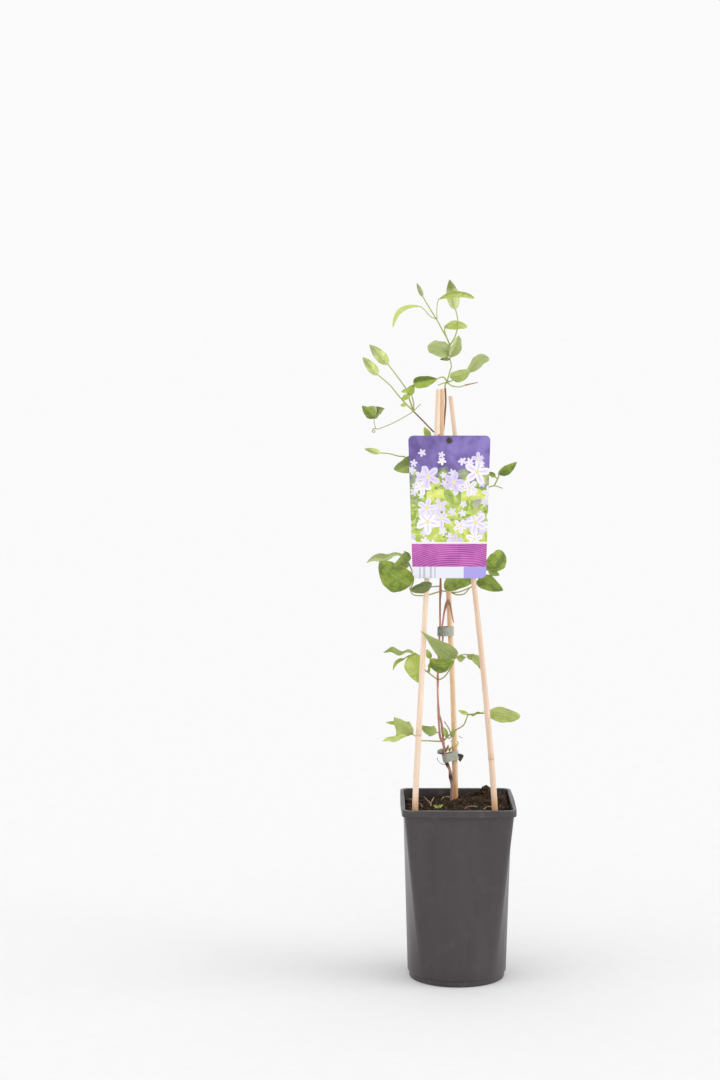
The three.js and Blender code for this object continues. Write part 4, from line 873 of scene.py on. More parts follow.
def motif(x, y, scale, lobes, size, waist):
    """Motifs on the print, their grid moved by x and y."""
    moved = first(tree, "ShaderNodeMapping", {"Vector": at, "Location": (x, y, 0)})
    return node(tree, "ShaderNodeGroup", {"Vector": moved, "Scale": scale, "Lobes": lobes, "Size": size,
                "Waist": waist}, node_tree=MOTIF).outputs


# The picture: dusk violet over soft spring green, strewn with pointed leaves and, over them, pale florets.
haze = speckle(tree, at, 0.035, 0.3, 0.7, 3)
sky = blend(tree, haze, "#5d4a8a", "#8a78bd")
meadow = blend(tree, haze, "#9db548", "#dbe17c")
field = blend(tree, ramp(tree, plus(tree, down, times(tree, haze, 26.0)), -30, -88), sky, meadow)
for x, y, scale, codes in ((11, 4, 0.062, ("#6f9034", "#b9cf58")), (3, 19, 0.05, ("#87a63e", "#d5de6c"))):
    print_leaf = motif(x, y, scale, 2.0, 0.6, 0.2)
    low_down = ramp(tree, split(tree, print_leaf["Cell"])["Y"], -34 + y, -58 + y)
    green = blend(tree, print_leaf["Chance"], *codes)
    green = wash(tree, green, print_leaf["Shade"], 0.5, "#eef0a8")
    field = wash(tree, field, print_leaf["Mask"], low_down, green)
for x, y, scale, size, rare, highest in ((0, 0, 0.085, 0.42, 0.5, -9), (17, 9, 0.05, 0.5, 0.25, -26),
                                         (5, 31, 0.036, 0.5, 0.2, -32)):
    floret = motif(x, y, scale, 5.0, size, 0.4)
    level = split(tree, floret["Cell"])["Y"]
    petal = blend(tree, floret["Chance"], "#c6b7e6", "#f4f0fb")
    petal = wash(tree, petal, floret["Shade"], 0.45, "#9f88cf")
    petal = blend(tree, floret["Eye"], petal, "#e4e08a")
    kept = times(tree, calc(tree, "GREATER_THAN", floret["Chance"], rare),
                 calc(tree, "LESS_THAN", level, float(highest + y)))
    field = wash(tree, field, floret["Mask"], kept, petal)

# Its foot: a magenta band of fine wavy lines, under a white rule and over a pale strip with grey bars and a
# violet block.
moved = first(tree, "ShaderNodeMapping", {"Vector": at, "Location": (-8, 182, 0)})
waves = node(tree, "ShaderNodeTexWave", {"Vector": stretched(tree, moved, 0.6, 1, 1), "Scale": 0.13,
             "Distortion": 7.0, "Detail": 0.0, "Detail Scale": 0.35}, wave_type="RINGS",
             rings_direction="Z").outputs["Fac"]
strip = blend(tree, speckle(tree, at, 0.05), "#9c3a90", "#b4509f")
strip = wash(tree, strip, ramp(tree, waves, 0.62, 0.92), 0.75, "#cf86cf")
field = blend(tree, inside(tree, down, *PRINT_BAND), field, strip)
field = blend(tree, inside(tree, down, *PRINT_RULE), field, "#e9e6ee")
uneven = plus(tree, times(tree, across, 1.05), calc(tree, "SINE", times(tree, across, 0.37)))
bars = times(tree, ramp(tree, calc(tree, "SINE", uneven), 0.0, 0.8), inside(tree, across, -36, -16, 0.6))
foot_strip = blend(tree, times(tree, bars, 0.6), "#dfe1ea", "#9a97a3")
foot_strip = blend(tree, ramp(tree, across, 16.6, 17.2), foot_strip, "#a79ce0")
field = blend(tree, ramp(tree, down, *PRINT_FOOT), field, foot_strip)
whole = blend(tree, ramp(tree, front, 0.4, 0.6), "#eeeae6", field)
cover(tree, surface, whole, speckle(tree, at, 1.2, 0.3, 0.7, 3), 0.00008, 0.3)

label = piece("label_board", np.concatenate(points), faces, [card], smooth_below=30)
carry(label, "FLOAT_VECTOR", "card_at", flat_at)
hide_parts("label_card")
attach(label, "root")

# ---- label fastener ----
# A push-through tie of dark olive plastic: its strap goes round canes and stem, and its stub and domed knob
# hold the card by the punched hole.
FASTENER_RING = [(-27.2, -9.4, 3), (-3.6, -7.2, 3.1), (-19.6, 8.3, 2.9), (-18.8, 15.4, 1.5)]
FASTENER_HEIGHT, FASTENER_THICKNESS, FASTENER_DROP = 2.4, 1, 2
FASTENER_AT = (LABEL_TOP[0], -15.1, LABEL_TOP[2] - LABEL_HOLE_DROP)
KNOB_SECTION = [  # radius, and how far back of the card's hole
    (0.5, 3.4), (1.25, 3.4), (1.4, 3.1), (1.4, -1.3), (3.2, -1.35), (3.5, -1.6), (3.6, -2.0), (3.5, -2.5),
    (3.1, -3.05), (2.4, -3.4), (1.5, -3.58), (0.6, -3.62)]

moulded, tree, surface = finish("fastener_plastic", roughness=0.42)
here = place_of(tree)
cover(tree, surface, blend(tree, speckle(tree, here, 500), "#2b2718", "#443f28"),
      speckle(tree, here, 1400), 0.0001, 0.5)

x, y, z = FASTENER_AT
rings = [[(x + radius * math.cos(a), y + back, z + radius * math.sin(a)) for a in ring_of(40)]
         for radius, back in KNOB_SECTION]
knob = piece("knob", *loft(rings), [moulded])
strap = piece("strap", *band(FASTENER_RING, 2 * GAP, FASTENER_THICKNESS, FASTENER_HEIGHT,
                             z - FASTENER_DROP), [moulded])
fastener = join("label_push_tie", strap, knob)
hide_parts("label_fastener")
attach(fastener, "root")

# ---- seedling and low leaves ----
# Thin, entire leaves of one or three leaflets on wiry stalks that twist round what they touch, with a sunk
# midrib and side veins that run with the margins, paler and ribbed underneath. Down here they are young
# regrowth from the woody base, and the seedling is a weed of two seed leaves in the peat.
FRONT = np.array([0.0, -1.0, 0.0])
BLADE_ROOT, SMALL_BLADE = 1, 10             # reach into the stalk; a narrower leaflet has a coarser mesh
MARGIN_THICKNESS, BODY_THICKNESS = 0.13, 0.2
RIB_DEPTH, RIB_HALF, VEIN_DEPTH, VEIN_HALF = 0.34, 0.45, 0.16, 0.35
VEINS = (0.36, 0.7)                         # where the side veins run, from midrib to margin
LEAFLET = {"roll": 0, "arch": 0.08, "lift": 0, "fold": 0.18, "wave": 0.06, "widest": 0.38, "full": 0.55,
           "lobes": [], "twist": 0, "sway": 0, "buckle": 0, "waves": 1.5, "tone": 0.6, "grey": 0.0,
           "side": 0, "end": 0}
STALK_RADII, SHOOT_RADIUS, THREAD_RADIUS = (0.9, 0.65), 0.7, 0.5
DOWN_DENSITY, DOWN_LENGTH = 1100000, 0.55   # hairs to the square metre


def spun(v, axis, angle):
    """Vectors turned about an axis."""
    c, s = np.cos(angle)[..., None], np.sin(angle)[..., None]
    return v * c + np.cross(axis, v) * s + axis * (v @ axis)[..., None] * (1 - c)


def blade(leaflet, seed):
    """Points, faces and looks of one leaflet, given as (root, tip, width, what differs from LEAFLET). Roll
    turns its face from the front and twist winds it; lift, sway, arch, fold and buckle (in so many waves)
    bend it; wave ripples it; widest, full and lobes shape its outline; side and end shift its tone towards
    one half and the tip, as painted light and shade."""
    root, tip, width, own = leaflet
    get = {**LEAFLET, **own}.get
    widest = get("widest")
    root, axis = np.array(root, float), np.subtract(tip, root).astype(float)
    length = np.linalg.norm(axis)
    axis /= length
    face = FRONT - axis * (FRONT @ axis)
    face = spun(face / np.linalg.norm(face), axis, np.radians(float(get("roll"))))
    across = np.cross(face, axis)
    across = -across if across[2] < 0 else across
    chance = random.Random(seed)
    edge_phase, ripple_phase, quilt_phase = [chance.uniform(0, 6.3) for _ in range(3)]

    def outline_at(t):
        to_tip = get("full") * (1 - widest) / widest
        return (t / widest) ** get("full") * ((1 - t) / (1 - widest)) ** to_tip

    def turned(t):
        """Directions across the leaflet and out of it at t, where it has twisted."""
        c, s = [f(np.radians(get("twist")) * (2 * t - 1))[..., None] for f in (np.cos, np.sin)]
        return across * c + face * s, face * c - across * s

    def middle(t, w):
        """The leaflet's middle layer at t from root to tip and w from margin to margin."""
        outline = outline_at(t)
        stand = 1 + sum(0.2 * np.exp(-((t - at) / 0.075) ** 2) for at in get("lobes")) * np.abs(w) ** 4
        stand = stand + 0.025 * np.sin(17 * t + edge_phase + np.sign(w)) * np.abs(w) ** 3
        half = 0.5 * width * outline * stand
        ripple = get("wave") * width * np.sin(9 * t + 2 * w) * w * w
        ripple = ripple + 0.022 * width * np.sin(21 * t + ripple_phase + 2.6 * np.sign(w)) * np.abs(w) ** 3
        rise = 4 * t * (1 - t) * length
        lift = get("lift") * rise + get("sway") * length * np.sin(2 * math.pi * t)
        buckle = get("buckle") * length * np.sin(2 * math.pi * get("waves") * t) * np.sin(math.pi * t)
        arch = get("arch") * rise + buckle
        over, out = turned(t)
        proud = get("fold") * np.abs(w) * half + ripple * outline
        return (root + axis * (t * length)[..., None] + across * lift[..., None] + face * arch[..., None]
                + over * (w * half)[..., None] + out * proud[..., None])

    small = width < SMALL_BLADE
    rows = 18 if small else 34
    t = (1 - np.cos(np.linspace(0, math.pi, rows + 1))) / 2
    t = (0.55 * t + 0.45 * np.linspace(0, 1, rows + 1))[1:-1]
    side = [0.05, 0.12, 0.24, 0.31, 0.36, 0.41, 0.52, 0.65, 0.7, 0.75, 0.85, 0.94, 1.0]
    side = side[::2] if small else side
    T, W = np.meshgrid(t, np.array([-v for v in side[::-1]] + [0.0] + side), indexing="ij")
    d = 0.02
    U = np.clip(T, 2 * d, 1 - 2 * d)
    normal = np.cross(middle(U + d, W) - middle(U - d, W), middle(U, W + d) - middle(U, W - d))
    normal /= np.linalg.norm(normal, axis=-1)[..., None]
    normal *= np.sign((normal * turned(T)[1]).sum(-1))[..., None]
    base, off = middle(T, W), np.abs(W)
    half = 0.5 * width * outline_at(T)
    ease = np.sqrt(np.clip(half / 3, 0, 1))
    side_veins = sum(VEIN_DEPTH * np.exp(-((off - v) * half / VEIN_HALF) ** 2) for v in VEINS)
    groove = RIB_DEPTH * np.exp(-(W * half / RIB_HALF) ** 2) * (1 - 0.6 * T)
    groove += side_veins * np.sin(math.pi * T) ** 0.5
    between = np.sin(math.pi * off / VEINS[0])
    quilt = 0.013 * width * (between ** 2) * np.sin(math.pi * T)
    quilt += 0.008 * width * np.sin(T * length * 1.3 + off * 7 + quilt_phase) * between
    thick = MARGIN_THICKNESS + BODY_THICKNESS * (1 - off ** 4)
    upper = base + normal * ((thick / 2 + (quilt - groove) * ease)[..., None])
    under = base - normal * ((thick / 2 + (groove * 1.1 - quilt) * ease)[..., None])
    tip, heel = middle(np.array(1.0 - 1e-6), np.array(0.0)), root - axis * BLADE_ROOT
    points = np.concatenate([upper.reshape(-1, 3), under.reshape(-1, 3), [heel, tip]])

    grid, wide, last = T.size, W.shape[1], len(t) - 1
    where = np.concatenate([np.stack([T.ravel(), W.ravel(), np.full(grid, s)], 1) for s in (0.0, 1.0)]
                           + [[[0, 0, 0.5], [1, 0, 0.5]]])
    spread = np.stack([T.ravel() * length, (W * half).ravel(), np.full(grid, seed * 3.7)], 1)
    flat = np.concatenate([spread, spread, [[0, 0, 0], [length, 0, 0]]])
    # Painted light and shade: side makes one half of the leaflet lighter or darker, and end its tip, as
    # light would fall on them.
    tones = get("tone") + get("side") * (0.5 + 0.5 * np.tanh(5 * (W - 0.1))) + get("end") * (T - 0.4)
    tones = np.concatenate([tones.ravel(), tones.ravel(), [tones[0].mean(), tones[-1].mean()]])
    looks = np.stack([tones, np.full(len(points), get("grey")), np.zeros(len(points))], 1)
    faces = []
    order = 1 if np.cross(across, axis) @ face > 0 else -1
    for s, turn in ((0, order), (grid, -order)):
        for i in range(last):
            for j in range(wide - 1):
                a = s + i * wide + j
                faces.append((a, a + 1, a + 1 + wide, a + wide)[::turn])
        for j in range(wide - 1):
            faces.append((2 * grid, s + j + 1, s + j)[::turn])
            faces.append((s + last * wide + j, s + last * wide + j + 1, 2 * grid + 1)[::turn])
    for j, turn in ((0, -order), (wide - 1, order)):
        for i in range(last):
            a, b = i * wide + j, (i + 1) * wide + j
            faces.append((a, grid + a, grid + b, b)[::turn])
        faces.append((2 * grid, grid + j, j)[::turn])
        end = last * wide + j
        faces.append((end, grid + end, 2 * grid + 1)[::turn])
    return points, faces, where, flat, looks


def bud(closed, seed):
    """Points, faces and looks of one closed bud, its sepals meeting edge to edge and drawn out to a point,
    given as (root, tip, width, tone, greyness, darkness of its tip)."""
    root, tip, width, tone, grey, dark_tip = closed
    root, axis = np.array(root, float), np.subtract(tip, root).astype(float)
    length = np.linalg.norm(axis)
    turn = np.array(Vector((0, 0, 1)).rotation_difference(Vector(axis)).to_matrix())
    rings, where = [], []
    for t in np.linspace(0, 1, 34):
        radius = 0.5 * width * max(0.05, math.sin(math.pi * min(1, t ** 0.75)) ** 0.8)
        ring = []
        for angle in ring_of(60):
            seam = (0.5 - 0.5 * math.cos(5 * angle)) ** 3
            ridge = 0.02 * math.cos(15 * angle + 2 * math.sin(7 * t + seed))
            r = radius * (1.01 - 0.11 * seam * math.sin(math.pi * t) ** 0.4 + ridge)
            drift = angle + 0.25 * t * t
            ring.append(turn @ np.array([r * math.cos(drift), r * math.sin(drift), t * length]) + root)
            where.append((t, seam, 0.0))
        rings.append(ring)
    points, faces = loft(rings)
    where += [(0, 0, 0), (1, 0, 0)]
    return points, faces, np.array(where), points - root, np.tile([tone, grey, dark_tip], (len(points), 1))


# What leaves and buds share: net veins and mottling over a colour chosen by tone and greyness.
LEAF_SKIN, given, out = group("leaf_skin", [("Look", "Vector"), ("Flat", "Vector")],
                              [("Color", "Color"), ("Net", "Float"), ("Mottle", "Float")])
tone, grey, _ = split(LEAF_SKIN, given["Look"])
mottle = speckle(LEAF_SKIN, given["Flat"], 0.12, 0.3, 0.7, 5)
shift = times(LEAF_SKIN, calc(LEAF_SKIN, "SUBTRACT", mottle, 0.5), 0.42)
scale = node(LEAF_SKIN, "ShaderNodeValToRGB", {"Fac": plus(LEAF_SKIN, tone, shift)})
stops = scale.color_ramp.elements
for i, code in enumerate(("#5a7016", "#859c2a", "#9eb240", "#b6c45a", "#d0da7e")):
    stop = stops[i] if i < 2 else stops.new(i / 4)
    stop.position, stop.color = i / 4, tint(code)
dulled = blend(LEAF_SKIN, tone, "#565e38", "#ccd2ae")
colour = blend(LEAF_SKIN, grey, scale.outputs["Color"], dulled)
wander = node(LEAF_SKIN, "ShaderNodeTexNoise", {"Vector": given["Flat"], "Scale": 0.7, "Detail": 3.0})
wander = vectors(LEAF_SKIN, "ADD", vectors(LEAF_SKIN, "SCALE", wander.outputs["Color"], 2.2), given["Flat"])
cells = first(LEAF_SKIN, "ShaderNodeTexVoronoi", {"Vector": wander, "Scale": 0.8},
              feature="DISTANCE_TO_EDGE")
for label, value in (("Color", colour), ("Net", ramp(LEAF_SKIN, cells, 0.0, 0.2)), ("Mottle", mottle)):
    LEAF_SKIN.links.new(value, out.inputs[label])


def leaf_skin(tree):
    feeds = {"Look": carried(tree, "look", "Vector"), "Flat": carried(tree, "leaf_flat", "Vector")}
    return node(tree, "ShaderNodeGroup", feeds, node_tree=LEAF_SKIN).outputs


leaf, tree, surface = finish("leaf_blade", roughness=0.42, specular_ior_level=0.34, subsurface_weight=0.12,
                             subsurface_radius=(0.5, 0.8, 0.2), subsurface_scale=0.001)
base, net, mottle = leaf_skin(tree)
t_at, w_at, under = split(tree, carried(tree, "leaf_at", "Vector"))
off_rib = calc(tree, "ABSOLUTE", w_at)
rib = times(tree, ramp(tree, off_rib, 0.09, 0.02), ramp(tree, t_at, 1.0, 0.5, 0.3, 1.0))
for vein in VEINS:
    near = calc(tree, "ABSOLUTE", calc(tree, "SUBTRACT", off_rib, vein))
    rib = calc(tree, "MAXIMUM", rib, times(tree, ramp(tree, near, 0.04, 0.0), 0.35))
pale = blend(tree, 0.5, base, "#e6ebc0")
colour = wash(tree, base, mottle, 0.4, blend(tree, 0.45, base, "#566a16"))
colour = wash(tree, colour, rib, 0.42, pale)
colour = wash(tree, colour, calc(tree, "SUBTRACT", 1.0, net), 0.16, pale)
colour = wash(tree, colour, under, 0.5, blend(tree, 0.55, base, "#c9d4ac"))
colour = wash(tree, colour, ramp(tree, off_rib, 0.93, 1.0), 0.35, "#6f5a2c")
cover(tree, surface, colour, plus(tree, times(tree, net, 0.4), mottle), 0.0003, 0.5)

bud_skin, tree, surface = finish("bud_skin", roughness=0.55, specular_ior_level=0.35,
                                 subsurface_weight=0.15, subsurface_radius=(0.6, 0.9, 0.3),
                                 subsurface_scale=0.0015)
base, _, mottle = leaf_skin(tree)
t_at, seam, _ = split(tree, carried(tree, "leaf_at", "Vector"))
dark_tip = split(tree, carried(tree, "look", "Vector"))["Z"]
# Painted shade: the grooves where the sepals meet are washed darker green.
colour = wash(tree, base, seam, 0.4, "#6c8a3c")
colour = wash(tree, colour, mottle, 0.3, "#e3ead0")
colour = wash(tree, colour, ramp(tree, t_at, 0.45, 0.8), dark_tip, "#7c8846")
cover(tree, surface, colour, speckle(tree, place_of(tree), 1400), 0.0002, 0.4)

petiole, tree, surface = finish("petiole", roughness=0.5, specular_ior_level=0.4)
lines = speckle(tree, stretched(tree, grain_of(tree), 1, 1, 0.08), 6, 0.3, 0.7, 4)
fresh = blend(tree, lines, "#8da544", "#bccb74")
ruddy = blend(tree, lines, "#8a6040", "#b6915f")
cover(tree, surface, blend(tree, carried(tree, "mark"), fresh, ruddy), lines, 0.00015, 0.5)

# Down on the buds: tapered hairs leaning this way and that.
DOWN, given, out = shaping_tree("down", ("Density", "Float", 900000.0), ("Hair Length", "Float", 0.0006),
                                ("Seed", "Int", 4), ("Material", "Material"))
spots = node(DOWN, "GeometryNodeDistributePointsOnFaces", {"Mesh": given["Geometry"],
             "Density": given["Density"], "Seed": given["Seed"]}).outputs
hair = first(DOWN, "GeometryNodeMeshCone", {"Vertices": 3, "Radius Top": 0.0, "Radius Bottom": 0.05,
             "Depth": 1.0}, fill_type="NONE")
swing = by_chance(DOWN, (-0.7, -0.7, 0.0), (0.7, 0.7, 6.3))
swing = first(DOWN, "FunctionNodeEulerToRotation", {"Euler": swing})
swung = first(DOWN, "FunctionNodeRotateRotation", {"Rotation": spots["Rotation"], "Rotate By": swing},
              rotation_space="LOCAL")
long = times(DOWN, by_chance(DOWN, 0.4, 1.3, 9), given["Hair Length"])
hairs = first(DOWN, "GeometryNodeInstanceOnPoints", {"Points": spots["Points"], "Instance": hair,
              "Rotation": swung, "Scale": vectors(DOWN, "SCALE", (1, 1, 1), long)})
DOWN.links.new(made_of(DOWN, realized(DOWN, hairs), given["Material"]), out.inputs["Geometry"])

fuzz, tree, surface = finish("down", roughness=0.6)
cover(tree, surface, blend(tree, speckle(tree, place_of(tree), 500), "#dfe6c2", "#f4f4e6"))


def downy(source):
    """Hairs all over an object, as one plain mesh."""
    obj = bpy.data.objects.new("hairs", source.data.copy())
    obj.data.materials.clear()
    bpy.context.scene.collection.objects.link(obj)
    return shape_with(obj, DOWN, "hairs", density=DOWN_DENSITY, hair_length=DOWN_LENGTH * MM, material=fuzz)


def grown(name, shapes, make, material):
    """Leaflets or buds of one spray as one mesh, each with its own seed."""
    points, faces, where, flat, looks = [], [], [], [], []
    for i, shape in enumerate(shapes):
        made = make(shape, i + len(name))
        faces += [tuple(v + len(points) for v in f) for f in made[1]]
        points += np.asarray(made[0]).tolist()
        for store, values in zip((where, flat, looks), made[2:]):
            store += np.asarray(values).tolist()
    obj = piece(name, points, faces, [material], smooth_below=60)
    for label, values in (("leaf_at", where), ("leaf_flat", flat), ("look", looks)):
        carry(obj, "FLOAT_VECTOR", label, values)
    return obj


def spray(name, red=0.4, blades=(), buds=(), stalks=(), threads=(), shoots=(), bare_stalks=()):
    """One growth of the plant in place of its node: leaflets, buds, and how ruddy their stalks are. Threads
    are tendrils, and shoots green stems."""
    lines = [(path, [SHOOT_RADIUS] * len(path), [0.0] * len(path)) for path in shoots]
    lines += [(path, np.linspace(*STALK_RADII, len(path)), np.linspace(red, red * 0.6, len(path)))
              for path in stalks]
    lines += [(path, [THREAD_RADIUS] * len(path), [red] * len(path)) for path in threads]
    lines += [(path, np.linspace(radius, radius * 0.5, len(path)), [mark] * len(path))
              for path, radius, mark in bare_stalks]
    parts = [stems(name + "_stalks", lines, petiole, spacing=0.7, sides=9, ridge=0.12, ridge_scale=2.5,
                   seed=len(name))]
    if blades:
        parts.append(grown(name + "_blades", blades, blade, leaf))
    if buds:
        parts.append(grown(name + "_buds", buds, bud, bud_skin))
        parts.append(downy(parts[-1]))
    made = join(name + "_growth", *parts)
    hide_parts(name)
    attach(made, "root")


spray("seedling", red=0,
      shoots=[
          [(-23, -8, 197), (-23.3, -8, 203), (-23, -7.8, 207)],
      ],
      blades=[
          ((-23, -7.8, 206.4), (-28.6, -7, 208.2), 3.8, dict(fold=0.4, tone=0.7, side=0.25)),
          ((-23, -7.8, 206.4), (-17.4, -7, 209), 3.4, dict(fold=0.4, tone=0.65, side=0.3)),
      ])
spray("low_leaves_left", red=0.5,
      stalks=[
          [(-19, 32.8, 278), (-35, 10, 283), (-44, -12, 288), (-50, -16, 293), (-55, -18, 297)],
          [(-53, -18, 296), (-63, -20, 296)],
          [(-54, -18, 297), (-64, -16, 304)],
      ],
      blades=[
          ((-54, -18, 297), (-76, -16, 316), 20,
           dict(roll=-20, lobes=[0.45], fold=0.35, tone=0.6, grey=0.3, side=0.25)),
          ((-61, -20, 296), (-90, -30, 290), 12,
           dict(roll=62, arch=-0.05, buckle=0.05, tone=0.85, grey=0.2)),
          ((-63, -16, 303), (-86, -6, 308), 9, dict(roll=62, tone=0.35)),
      ])
spray("low_leaf_middle", red=0.5,
      stalks=[
          [(-20.5, 31, 290), (-24, 19, 291), (-25, 10, 293)],
      ],
      blades=[
          ((-25, 10.5, 293), (-46, 0, 304), 12,
           dict(roll=-10, lobes=[0.3], twist=30, tone=0.4, grey=0.3, side=0.25)),
      ])
spray("low_sprig", red=0.6,
      stalks=[
          [(-17, 32.8, 289), (-13, 28, 285), (-9, 26, 283), (-6, 26, 286)],
          [(-6, 26, 285), (-9, 25, 294), (-15, 24, 304)],
      ],
      blades=[
          ((-12, 27.3, 284.5), (-17, 18, 299), 6, dict(roll=20, tone=0.7, grey=0.2)),
          ((-6.5, 26, 285), (-2, 21, 295), 6, dict(roll=-20, tone=0.6)),
      ])
spray("low_leaves_right", red=0.45,
      stalks=[
          [(-15.6, 34, 278), (-9, 30, 286), (-1, 22, 294), (7, 8, 302), (10, 0, 310), (12, -5, 318)],
          [(12, -5, 317), (22, -2, 318), (36, 0, 318)],
      ],
      blades=[
          ((12, -5, 318), (0, -8, 323), 5, dict(tone=0.75)),
          ((13, -4, 318), (33, -1, 322), 9, dict(roll=65, buckle=0.07, tone=0.65, grey=0.2)),
          ((34, 0, 318), (75, 6, 313), 20,
           dict(roll=20, lift=0.06, fold=0.14, widest=0.46, sway=0.02, tone=0.62, grey=0.2, side=0.2)),
      ])

# ---- middle leaves ----
# Full-grown compound leaves at the second joint: broad leaflets, one bright and one dull, on brownish
# stalks that hook round the canes.
spray("middle_leaves_front", red=0.5,
      stalks=[
          [(-22.9, 26.6, 354), (-19, 10, 358), (-14, 0, 364), (-10, -4, 371), (-6, -6, 378), (-4, -8, 387)],
          [(-4, -7.5, 385), (4, -6, 389), (13, -3, 389), (19, 1, 389)],
      ],
      blades=[
          ((-4, -8, 386), (-47, -43, 424), 22,
           dict(roll=-20, arch=0.05, lift=0.03, widest=0.27, fold=0.25, tone=0.42, grey=0.42, side=0.2,
                end=0.3)),
          ((-5.3, -7, 382), (-34, -9, 381), 18,
           dict(roll=-10, widest=0.62, full=0.7, arch=0.05, lift=-0.15, fold=0.3, tone=0.12, side=0.2)),
          ((-1, -7, 385), (10, -3, 386), 9, dict(roll=30, twist=30, tone=0.45, grey=0.3)),
          ((11, -4, 389.5), (16, -1, 382), 5, dict(tone=0.4, grey=0.3)),
          ((16, 1, 388), (29, -5, 364.5), 11,
           dict(roll=15, lift=0.2, fold=0.4, widest=0.3, tone=0.6, grey=0.35, end=-0.3)),
      ])
spray("middle_leaves_left", red=0.5,
      stalks=[
          [(-22.9, 26.6, 354), (-28, 18, 359), (-34, 8, 365), (-39, 0, 370), (-46, 3, 380), (-51, -5, 391)],
          [(-34, 8, 365), (-33, 3, 376), (-33, 0, 386)],
          [(-36, 5, 367), (-34, 0, 373)],
          [(-51, -5, 390), (-59, -3, 387), (-65, -1, 383)],
      ],
      blades=[
          ((-51, -5, 391), (-47, -2, 355), 25, dict(roll=15, fold=0.35, tone=0.86, side=-0.35)),
          ((-51, -5, 390), (-89, -5, 392), 13,
           dict(roll=68, arch=0.05, buckle=0.09, waves=1.6, twist=14, wave=0.12, tone=0.35, grey=0.3,
                end=-0.2)),
          ((-63, -2, 384), (-77, 0, 369), 5, dict(roll=30, lift=0.16, tone=0.45)),
          ((-33, 0, 384), (-37, -4, 396), 7, dict(tone=0.75)),
          ((-34, 0, 372), (-32, -4, 381), 5, dict(tone=0.75)),
      ])

# ---- upper leaves ----
# Leaves at the foot of the card, the largest of the plant. Some are turned over, so that their felted,
# whitish undersides face the front.
spray("upper_leaves_left", red=0.55,
      stalks=[
          [(-20.4, 18.4, 462), (-33, 4, 460), (-45, -8, 460), (-54, -12, 462), (-58, -14, 470)],
          [(-57, -14, 468), (-53, -12, 480), (-57, -6, 495), (-63, -4, 507)],
          [(-57, -6, 495), (-64, -1, 497)],
          [(-59, -5, 500), (-63, -2, 503)],
      ],
      blades=[
          ((-57.5, -14, 473), (-93.2, -20, 501.8), 34,
           dict(roll=-10, full=0.42, lift=-0.04, fold=0.14, wave=0.04, tone=0.2, side=0.12, end=-0.1)),
          ((-61, -4, 505), (-109, -14, 499.4), 17,
           dict(roll=66, arch=0.1, buckle=0.06, waves=1.4, wave=0.13, twist=14, tone=0.68, grey=0.55,
                side=-0.3)),
          ((-61, -6, 503.5), (-80.5, -30, 493.5), 18,
           dict(roll=-16, arch=0.18, fold=0.3, lift=0.1, tone=0.03, side=0.15)),
          ((-58, -2, 501), (-64, 2, 512), 8, dict(roll=35, tone=0.1)),
      ])
spray("upper_leaf_front", red=0.6,
      stalks=[
          [(-20.4, 17.9, 468), (-26, 8, 469), (-31, -4, 470), (-32.5, -20, 472), (-33, -31, 476)],
      ],
      blades=[
          ((-32.5, -30.5, 476.6), (-57, -37, 470), 13,
           dict(roll=-10, widest=0.46, full=0.5, fold=0.3, tone=0.02, grey=0.7, side=-0.12)),
      ])
spray("upper_leaves_right", red=0.5,
      stalks=[
          [(-20.4, 18.4, 462), (-17, 28.5, 461), (-8, 29.5, 459.5), (2, 20, 461), (12, 12, 466),
           (25, 4, 474)],
          [(-8, 29.5, 459.5), (0, 24, 457), (8, 18, 459), (14, 10.5, 467)],
          [(16, 9.5, 468), (20, 5, 474), (21, 5, 481)],
          [(24, 5, 473), (26, 3, 484), (33, 0, 494)],
      ],
      blades=[
          ((20, 5, 479), (-17, -4, 468.5), 21,
           dict(roll=8, lift=0.1, widest=0.55, fold=0.3, tone=0.2, grey=0.15, side=0.2)),
          ((22, 4, 475), (53.5, 0, 465.3), 19,
           dict(roll=12, lift=0.14, sway=0.03, fold=0.28, tone=0.12, side=0.16)),
          ((31, 0, 490), (53, 4, 511), 24,
           dict(roll=10, widest=0.6, full=0.8, lift=-0.06, fold=0.3, twist=10, tone=0.15, side=0.12)),
          ((36, -1, 491), (49, 2, 483), 9, dict(roll=20, fold=0.4, tone=0.3, grey=0.3)),
      ])

# ---- leaves and bud beside the card ----
# What grows out from behind the card: a small nodding bud, a folded leaflet and two dark leaflets.
spray("bud_beside_label", red=0.4,
      stalks=[
          [(-21.7, 17.2, 600), (-40, 0, 608), (-56, -4, 617), (-64, -6, 624), (-71, -8, 625),
           (-82, -10, 628), (-93, -12, 629)],
          [(-40, 0, 608), (-45, -5, 618), (-51.4, -8, 626.5)],
      ],
      blades=[
          ((-51.4, -8, 627.5), (-76.5, -14, 609.5), 18,
           dict(arch=0.04, lift=-0.17, fold=0.3, widest=0.5, full=0.75, tone=0.36, grey=0.3, side=-0.15)),
      ],
      buds=[
          ((-92, -12, 629), (-111, -14, 634), 7, 0.9, 0.2, 0.6),
      ])
spray("leaf_above_label", red=0.4,
      stalks=[
          [(-20.2, 16, 634), (-29, 4, 635), (-34, -2, 642), (-35, -3, 648)],
      ],
      blades=[
          ((-34.5, -3, 646), (-41, -4, 659), 8, dict(tone=0.55, grey=0.1)),
      ])
